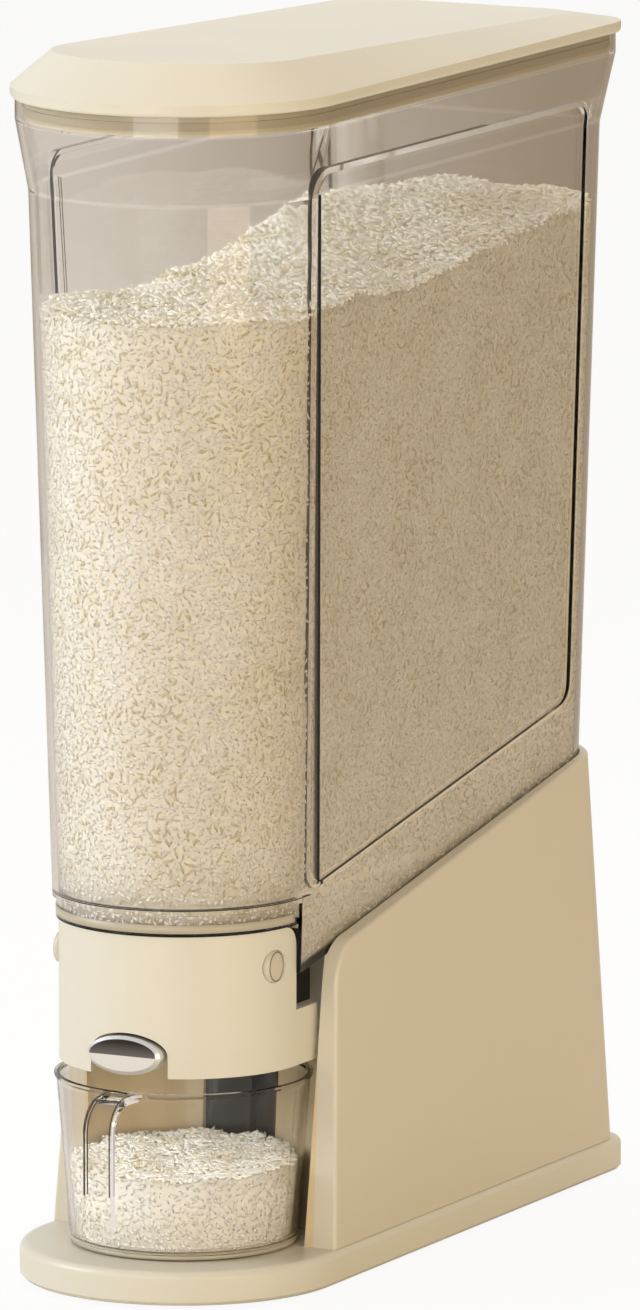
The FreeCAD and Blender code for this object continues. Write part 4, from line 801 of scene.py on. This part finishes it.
hopper_lines, _, out = new_group("hopper_lines", {}, {"Dark": "Float", "Bright": "Float"})
tree = hopper_lines
side, along, height = split_place(tree)
across = calc(tree, "ABSOLUTE", side)
behind = calc(tree, "SUBTRACT", along, NOSE_Y)
front_y = calc(tree, "MULTIPLY_ADD", height, -PANEL_LEAN, PANEL_FRONT + PANEL_LEAN * WAIST_Z)
front = calc(tree, "SUBTRACT", front_y, behind)
rear = calc(tree, "SUBTRACT", behind, PANEL_BACK)
floor_line = calc(tree, "MULTIPLY_ADD", behind, FLOOR_SLOPE, FLOOR_Z + PANEL_RISE)
foot = calc(tree, "SUBTRACT", floor_line, height)
beyond = calc(tree, "SMOOTH_MAX", front, rear, PANEL_ROUNDING)
beyond = calc(tree, "SMOOTH_MAX", beyond, foot, PANEL_ROUNDING)
on_side = above(tree, across, SIDE_LINE_X)
below_flare = below(tree, height, 420 * MM)
above_foot = below(tree, foot, 1 * MM)
in_nose = below(tree, behind, 9 * MM)
over_cover = below(tree, behind, 1.8 * MM)
print("planes:", len(tree.nodes), "nodes")

# %% [markdown]
# Painted shade lines are the corner where the nose turns into the side, which leans with the panel and is
# wider on the right, the foot of the band, the seat of the cover and the seam at its tail.

# %% Dark lines
shade_y = calc(tree, "MULTIPLY_ADD", height, -SHADE_LEAN, SHADE_FRONT + SHADE_LEAN * WAIST_Z)
shade_half = calc(tree, "MULTIPLY_ADD", above(tree, side, 0.0), 0.75 * MM, 0.35 * MM)
shade = every(tree, near(tree, behind, shade_y, shade_half), below_flare, above_foot, on_side)
band = every(tree, near(tree, height, BAND_Z, 0.2 * MM), in_nose)
seat = every(tree, near(tree, height, SEAT_Z, 0.35 * MM), over_cover)
beside_cover = every(tree, below(tree, height, 139 * MM), below(tree, across, 48.5 * MM))
seam = every(tree, near(tree, behind, 1.8 * MM, 0.6 * MM), beside_cover)
dark = either(tree, shade, band, seat, seam)
print("with dark lines:", len(tree.nodes), "nodes")

# %% [markdown]
# Painted highlights are the rounded edge of the panels and their upright risers, the turn over the band,
# the ledge above the cover, and the flare with its rim. The panel's top is the faintest.

# %% Bright lines
outline = calc(tree, "ABSOLUTE", beyond)
glint = every(tree, near(tree, outline, 1.2 * MM, 0.5 * MM), below_flare, on_side)
riser = every(tree, near(tree, either(tree, front, rear), 0.0, 0.05 * MM), on_side)
over_band = every(tree, near(tree, height, BAND_Z + 0.9 * MM, 0.5 * MM), in_nose)
ledge = every(tree, near(tree, height, LEDGE_LINE_Z, 1.2 * MM), over_cover)
panel_top = every(tree, near(tree, height, PANEL_TOP_Z, 2.5 * MM), on_side)
flare_edges = either(
    tree,
    near(tree, height, SHOULDER_Z + 0.5 * MM, 0.8 * MM),
    near(tree, height, RIM_LINE_Z, 1.0 * MM),
    calc(tree, "MULTIPLY", panel_top, 0.4),
)
bright = either(tree, glint, riser, over_band, ledge, flare_edges)
connect(tree, out, Dark=dark, Bright=bright)
print("with bright lines:", len(tree.nodes), "nodes")

# %% [markdown]
# ## The lines in the cup
# The strap handle gets painted shade along its edges above its bend. Its sides and its lower run, the
# thick floor and the turn under the brim get painted highlights instead.

# %% Line masks of the cup
STRAP_FRONT = 50.5 * MM
STRAP_EDGE = 5.3 * MM
STRAP_BEND_Z = 44 * MM

cup_lines, _, out = new_group("cup_lines", {}, {"Dark": "Float", "Bright": "Float"})
tree = cup_lines
side, along, height = split_place(tree)
turned = add(tree, "SeparateXYZ", {0: add(tree, "TexCoord").outputs["Normal"]}).outputs[0]
strap = below(tree, along, NOSE_Y - STRAP_FRONT)
sideways = above(tree, calc(tree, "ABSOLUTE", turned), 0.8)
edge = near(tree, calc(tree, "ABSOLUTE", side), STRAP_EDGE, 0.3 * MM)
dark = every(tree, strap, edge, above(tree, height, STRAP_BEND_Z))
thick_floor = below(tree, height, 18.2 * MM)
under_brim = near(tree, height, 78.2 * MM, 1.2 * MM)
handle_glow = every(tree, strap, either(tree, sideways, below(tree, height, STRAP_BEND_Z)))
connect(tree, out, Dark=dark, Bright=either(tree, thick_floor, under_brim, handle_glow))
print("lines of the cup:", len(tree.nodes), "nodes")

# %% [markdown]
# ## Clear plastic
# The hopper and the cup are clear, with a warm grey cast. Light has to reach the rice, so for
# shadow rays the plastic is simply a tinted window. Sheets seen edge-on look darker, because
# the eye looks through more of them, and that is what draws the thin dark outlines. Both
# bend light less than solid plastic does, which keeps what stands behind them in its place.

# %% Clear plastic
clear_finish, _, out = new_group("clear_finish", {}, {"Roughness": "Float", "Normal": "Vector"})
tree = clear_finish
waves = noise(tree, 22.0, 1.0)
bump = add(tree, "Bump", {"Strength": 0.12, "Distance": 0.001, "Height": waves})
connect(tree, out, Roughness=remap(tree, waves, 0.3, 0.7, 0.015, 0.045), Normal=bump.outputs[0])

GLINT = (1.0, 0.99, 0.97, 1)


def clear(name, tint, edge, bending, lines, shade_line_colour):
    """Clear plastic of a tint, darker where it is seen edge-on, with painted shade along its dark lines
    and painted highlights along its bright ones.
    """
    material, tree, shader = new_material(name, IOR=bending, Transmission_Weight=1.0)
    finish = use_group(tree, clear_finish)
    masks = use_group(tree, lines)
    facing = add(tree, "LayerWeight", {"Blend": 0.5}).outputs["Facing"]
    colour = blend_colours(tree, calc(tree, "POWER", facing, 3.0), tint, edge)
    # Painted highlights where the bright lines run, painted shade where the dark ones run.
    colour = blend_colours(tree, masks["Bright"], colour, GLINT)
    colour = blend_colours(tree, masks["Dark"], colour, shade_line_colour)
    matt_lines = calc(tree, "MULTIPLY", masks["Dark"], 0.8)
    rough = calc(tree, "MAXIMUM", finish["Roughness"], matt_lines)
    connect(tree, shader, Base_Color=colour, Roughness=rough, Normal=finish["Normal"])
    window = add(tree, "BsdfTransparent", {"Color": tint}).outputs[0]
    shadow_ray = add(tree, "LightPath").outputs["Is Shadow Ray"]
    mix = add(tree, "MixShader", {0: shadow_ray, 1: shader.outputs[0], 2: window})
    tree.links.new(mix.outputs[0], tree.nodes["Material Output"].inputs["Surface"])
    return material


hopper_clear = clear(
    "clear_plastic",
    tint=(0.90, 0.88, 0.845, 1),
    edge=(0.50, 0.43, 0.35, 1),
    bending=1.36,
    lines=hopper_lines,
    shade_line_colour=(0.001, 0.001, 0.001, 1),
)
cup_clear = clear(
    "cup_plastic",
    tint=(0.965, 0.955, 0.935, 1),
    edge=(0.62, 0.56, 0.48, 1),
    bending=1.27,
    lines=cup_lines,
    shade_line_colour=(0.02, 0.016, 0.012, 1),
)
print("clear:", hopper_clear.name, cup_clear.name)

# %% [markdown]
# ## Rice
# Raw rice is a warm translucent white. Some grains keep a little bran and are darker, so each
# grain carries its own tone, and larger patches drift a little. The loose grains on top pass
# light on to each other. Real scattering would be slow, so they get a weak glow instead.

# %% Rice grains
WHITE = (0.90, 0.895, 0.865, 1)
# The rice in the cup is a darker, greyer copy of the same white: painted shade, for the cup stands under
# the nose.
CUP_SHADED_WHITE = (0.80, 0.79, 0.76, 1)
DULL_RICE = (0.70, 0.64, 0.46, 1)
SOFT_GLOW = {"Emission_Color": (0.95, 0.91, 0.81, 1), "Emission_Strength": 0.11}

rice_patches, _, out = new_group("rice_patches", {}, {"Drift": "Float", "Dull": "Float"})
patches = noise(rice_patches, 45.0, 3.0)
drift = calc(rice_patches, "MULTIPLY_ADD", patches, 0.9, -0.45)
dull = remap(rice_patches, patches, 0.38, 0.62, 0.2, 0.0)
connect(rice_patches, out, Drift=drift, Dull=dull)


def rice_material(name, chaff, share, white, **settings):
    """Rice whose grains go from chaffy to white by their own tone, in slightly uneven patches."""
    material, tree, shader = new_material(name, **settings)
    uneven = use_group(tree, rice_patches)
    tone = add(tree, "Attribute", attribute_name="tone").outputs["Fac"]
    ramp = add(tree, "ValToRGB", {0: calc(tree, "ADD", tone, uneven["Drift"])})
    chaffy, off_white = ramp.color_ramp.elements
    chaffy.color = chaff
    chaffy.position = share
    off_white.color = (white[0] * 0.96, white[1] * 0.95, white[2] * 0.93, 1)
    off_white.position = share + 0.09
    ramp.color_ramp.elements.new(1.0).color = white
    colour = blend_colours(tree, uneven["Dull"], ramp.outputs[0], DULL_RICE)
    chalk = noise(tree, 700.0, 1.0)
    bump = add(tree, "Bump", {"Strength": 0.08, "Distance": 0.0001, "Height": chalk}).outputs[0]
    rough = remap(tree, chalk, 0.3, 0.7, 0.45, 0.65)
    connect(tree, shader, Base_Color=colour, Roughness=rough, Normal=bump)
    return material


loose_rice = rice_material(
    "loose_rice", (0.76, 0.69, 0.50, 1), 0.06, WHITE, Specular_IOR_Level=0.3, **SOFT_GLOW
)
# Against the walls more grains are dark, and a deeper tan: partly bran, partly painted shade of the gaps
# between the pressed grains.
pressed_rice = rice_material(
    "pressed_rice", (0.65, 0.58, 0.41, 1), 0.19, WHITE, Specular_IOR_Level=0.05
)
# Painted shade: the cup's rice against its wall is darker and greyer.
cup_rice = rice_material(
    "cup_rice", (0.68, 0.64, 0.54, 1), 0.12, CUP_SHADED_WHITE, Specular_IOR_Level=0.05
)
print("rice:", loose_rice.name, pressed_rice.name, cup_rice.name)

# %% [markdown]
# ## Rice behind the grains
# The body of rice only shows in the gaps between the outer grains, where it has to read as more rice. It
# gets a pattern of cells about as large as a grain, with dark borders that paint the shade in the gaps
# between grains.

# %% Packed rice


def bulk_material(name, pale, gap_shade):
    """The mottled surface of packed grains, in cells about as large as a grain, with painted shade at
    their borders.
    """
    material, tree, shader = new_material(name, Roughness=0.9, Specular_IOR_Level=0.05)
    sockets = {"Vector": object_place(tree), "Scale": 330.0}
    cells = add(tree, "TexVoronoi", sockets, feature="F1").outputs["Distance"]
    ramp = add(tree, "ValToRGB", {0: cells})
    middle, shaded_gap = ramp.color_ramp.elements
    middle.color = pale
    shaded_gap.color = gap_shade
    shaded_gap.position = 0.8
    dull = use_group(tree, rice_patches)["Dull"]
    connect(tree, shader, Base_Color=blend_colours(tree, dull, ramp.outputs[0], DULL_RICE))
    return material


hopper_bulk = bulk_material("packed_rice", (0.90, 0.88, 0.83, 1), (0.80, 0.755, 0.65, 1))
# The cup's packed rice is darker and greyer too: painted shade of the bay under the nose.
measure_bulk = bulk_material("measured_rice", (0.79, 0.775, 0.74, 1), (0.72, 0.69, 0.62, 1))
print("bulk:", hopper_bulk.name, measure_bulk.name)

# %% [markdown]
# ## The chromed button
# The push button is chromed plastic. Its dished face mirrors the dark underside of the nose in its upper
# half and the bright ground in the lower one. The real mirror image is blurred and weak at this size, so
# the upper half of the dish also gets a painted reflection: a dark gradient in its colour.

# %% Chrome and zinc
DISH_Z, DISH_HALF_WIDTH, DISH_HALF_HEIGHT = 94.6 * MM, 14.2 * MM, 6.2 * MM
chrome = metal("button_chrome", (0.78, 0.77, 0.75, 1), (0.82, 0.81, 0.79, 1), 0.22)
steel = metal("screw_steel", (0.50, 0.49, 0.47, 1), (0.60, 0.59, 0.57, 1), 0.28)
tree = chrome.node_tree
side, along, height = split_place(tree)
upper = calc(tree, "SUBTRACT", height, DISH_Z)
wide = calc(tree, "DIVIDE", side, DISH_HALF_WIDTH)
tall = calc(tree, "DIVIDE", upper, DISH_HALF_HEIGHT)
dished = below(tree, sum_of_squares(tree, wide, tall), 1.0)
depth = remap(tree, upper, 0.0, 5 * MM, 0.0, 1.0)
# Painted reflection: the dark nose mirrored in the upper half of the dish, deepest at its top.
shadow = blend_colours(tree, depth, (0.17, 0.155, 0.15, 1), (0.045, 0.038, 0.034, 1))
recolour(chrome, every(tree, dished, above(tree, upper, 0.0)), shadow)
print("metals:", chrome.name, steel.name)

# %% [markdown]
# ## Frosted pegs, rubber and silicone
# The ends of the pegs are frosted, with a thin ring of painted shadow where they dive into their holes.
# Feet and seals are soft and matt. The seal of the lid is paler than the gasket of the outlet.

# %% Soft and frosted parts
PEG_SHADOW_RING = 5.5 * MM
frosted = plastic("frosted_plastic", (0.62, 0.57, 0.47, 1), (0.68, 0.63, 0.53, 1))
tree = frosted.node_tree
side, along, height = split_place(tree)
from_peg = calc(tree, "SUBTRACT", along, NOSE_Y + PEG_Y)
over_peg = calc(tree, "SUBTRACT", height, PEG_Z)
off_peg = calc(tree, "SQRT", sum_of_squares(tree, from_peg, over_peg))
# Painted shadow: a thin dark ring where the peg dives into its hole.
recolour(frosted, near(tree, off_peg, PEG_SHADOW_RING, 0.3 * MM), (0.17, 0.14, 0.10, 1))
rubber = plastic("foot_rubber", (0.045, 0.040, 0.036, 1), (0.060, 0.054, 0.048, 1))
silicone = plastic("silicone", (0.10, 0.082, 0.06, 1), (0.13, 0.105, 0.078, 1))
pale_silicone = plastic("pale_silicone", (0.40, 0.35, 0.26, 1), (0.46, 0.41, 0.31, 1))
print("soft:", frosted.name, rubber.name, silicone.name, pale_silicone.name)

# %% [markdown]
# ## Handing out the finishes
# Every piece of the frame gets one finish, by its name. The pieces made in this lesson
# follow. A list by name is plain, and it shows at once if a piece of the frame is left bare.

# %% One finish for each piece
finishes = {
    "base_plate": cream,
    "stand_housing": stand_cream,
    "valve_cover": cream,
    "lid_shell": cream,
    "lid_insert": insert,
    "hopper": hopper_clear,
    "outlet_housing": hopper_clear,
    "measuring_cup": cup_clear,
    "cup_backstop": smoke,
    "valve_frame": smoke,
    "shutter_plate": smoke,
    "button_stem": smoke,
    "outlet_chute": smoke,
    "button_cap": chrome,
    "return_spring": steel,
    "guide_pin": steel,
    "base_screws": steel,
    "valve_screws": steel,
    "outlet_gasket": silicone,
    "lid_seal": pale_silicone,
    "rubber_feet": rubber,
}
for name, material in finishes.items():
    nodes[name].data.materials.clear()
    nodes[name].data.materials.append(material)
for end in peg_ends:
    end.data.materials.append(frosted)
# The edge solids carry the painted highlight.
for piece in (flange_strip, cup_floor_disc):
    piece.data.materials.append(edge_highlight)
for piece in rice_pieces:
    pressed = cup_rice if piece.name.startswith("cup") else pressed_rice
    piece.data.materials.append(loose_rice if piece.name.endswith("_top") else pressed)
rice_bulk.data.materials.append(hopper_bulk)
cup_bulk.data.materials.append(measure_bulk)
print("without a finish:", sorted(set(nodes) - set(finishes)))

# %% [markdown]
# ## Camera
# The camera stands far off with a long lens, which keeps the sides of the slim box nearly
# parallel. It looks from the front right and a little from above.

# %% Camera
AIM = Vector((0.06977, -0.11895, 0.2494))
AZIMUTH, ELEVATION = math.radians(27), math.radians(9.6)
DISTANCE = 5.6229
back = Vector(
    (
        math.sin(AZIMUTH) * math.cos(ELEVATION),
        -math.cos(AZIMUTH) * math.cos(ELEVATION),
        math.sin(ELEVATION),
    )
)
lens = bpy.data.cameras.new("camera")
lens.lens = 411.1
lens.sensor_width = 36
camera = bpy.data.objects.new("camera", lens)
bpy.context.scene.collection.objects.link(camera)
camera.location = AIM + back * DISTANCE
camera.rotation_euler = (-back).to_track_quat("-Z", "Y").to_euler()
bpy.context.scene.camera = camera
bpy.context.scene.view_settings.view_transform = "Standard"
print("camera at", [round(v, 2) for v in camera.location])

# %% [markdown]
# ## The table
# A catalogue picture has a white ground with a soft shadow on it. More light would bleach the object too,
# so the ground only glows for the camera, and stays a real plane that takes the shadow. What clear
# plastic shows is mostly this ground, seen through it. For those rays it glows in a warm grey that gets
# deeper towards the right, a painted light and shade that is bright on the side of the key lamp and dark
# on the shaded side, and that gives the plastic its body.

# %% Ground
GROUND_HALF = 30.0
GLOW_SHARE = 0.93
SWEEP_LEFT, SWEEP_RIGHT = -0.147, 0.151
ground_mesh = bpy.data.meshes.new("ground")
corners = [(x * GROUND_HALF, y * GROUND_HALF, 0) for x, y in ((-1, -1), (1, -1), (1, 1), (-1, 1))]
ground_mesh.from_pydata(corners, [], [(0, 1, 2, 3)])
ground = bpy.data.objects.new("ground", ground_mesh)
bpy.context.scene.collection.objects.link(ground)
ground_white, tree, shader = new_material("ground_white", Base_Color=(0.86, 0.85, 0.83, 1), Roughness=0.9)
path = add(tree, "LightPath")
through = path.outputs["Is Transmission Ray"]
across, along, up = split_place(tree)
# Painted light and shade behind the clear plastic: the glow for transmission rays fades from a light warm
# grey on the left to a deep tan on the right.
to_right = calc(tree, "MULTIPLY", across, math.cos(AZIMUTH))
aside = calc(tree, "MULTIPLY_ADD", along, math.sin(AZIMUTH), to_right)
sweep = remap(tree, aside, SWEEP_LEFT, SWEEP_RIGHT, 0.0, 1.0)
behind_clear = blend_colours(tree, sweep, (0.80, 0.75, 0.72, 1), (0.36, 0.295, 0.22, 1))
seen_colour = blend_colours(tree, through, (1, 1, 1, 1), behind_clear)
glow = add(tree, "Emission", {"Color": seen_colour, "Strength": 1.0}).outputs[0]
glowing = either(tree, path.outputs["Is Camera Ray"], through)
share = calc(tree, "MULTIPLY", glowing, GLOW_SHARE)
mix = add(tree, "MixShader", {0: share, 1: shader.outputs[0], 2: glow})
tree.links.new(mix.outputs[0], tree.nodes["Material Output"].inputs["Surface"])
ground_mesh.materials.append(ground_white)
print("ground:", 2 * GROUND_HALF, "m across")

# %% [markdown]
# ## The room
# The room is white only where the camera sees it. Mirrors see a mid grey, clear plastic a warm
# one, and everything else is lit by a warm dim light that keeps the shaded sides tan.

# %% Surroundings
world = bpy.data.worlds.new("room")
bpy.context.scene.world = world
world.use_nodes = True
tree = world.node_tree
path = add(tree, "LightPath")
room = blend_colours(tree, path.outputs["Is Glossy Ray"], (0.42, 0.32, 0.20, 1), (0.68, 0.68, 0.68, 1))
room = blend_colours(tree, path.outputs["Is Transmission Ray"], room, (0.80, 0.73, 0.65, 1))
seen = blend_colours(tree, path.outputs["Is Camera Ray"], room, (1.0, 1.0, 1.0, 1))
tree.links.new(seen, tree.nodes["Background"].inputs["Color"])
print("room:", world.name)

# %% [markdown]
# ## Lamps
# Four soft lamps stand round the object. A cool key from the left gives the shape, one in
# front opens the nose, a weak warm one from the right keeps the shaded side a soft tan, and
# one above lifts the lid and the top of the rice.

# %% Lamps


def area_light(name, place, aim, size, power, colour):
    """A square lamp at a place, turned towards a point."""
    data = bpy.data.lights.new(name, "AREA")
    data.size = size
    data.energy = power
    data.color = colour
    lamp = bpy.data.objects.new(name, data)
    bpy.context.scene.collection.objects.link(lamp)
    lamp.location = place
    lamp.rotation_euler = (Vector(aim) - Vector(place)).to_track_quat("-Z", "Y").to_euler()
    return lamp


middle = (0, -0.02, 0.22)
lamps = [
    area_light("key", (-1.9, -1.05, 1.2), middle, 1.1, 29, (0.83, 0.90, 1.0)),
    area_light("front", (0.35, -2.2, 0.5), middle, 1.2, 14, (1.0, 0.99, 0.96)),
    area_light("warm_fill", (1.6, -0.9, 0.42), middle, 1.1, 9.5, (1.0, 0.78, 0.50)),
    area_light("top", (-0.2, 0.5, 1.9), middle, 1.0, 16, (1.0, 1.0, 0.98)),
]
print("lamps:", {lamp.name: lamp.data.energy for lamp in lamps})
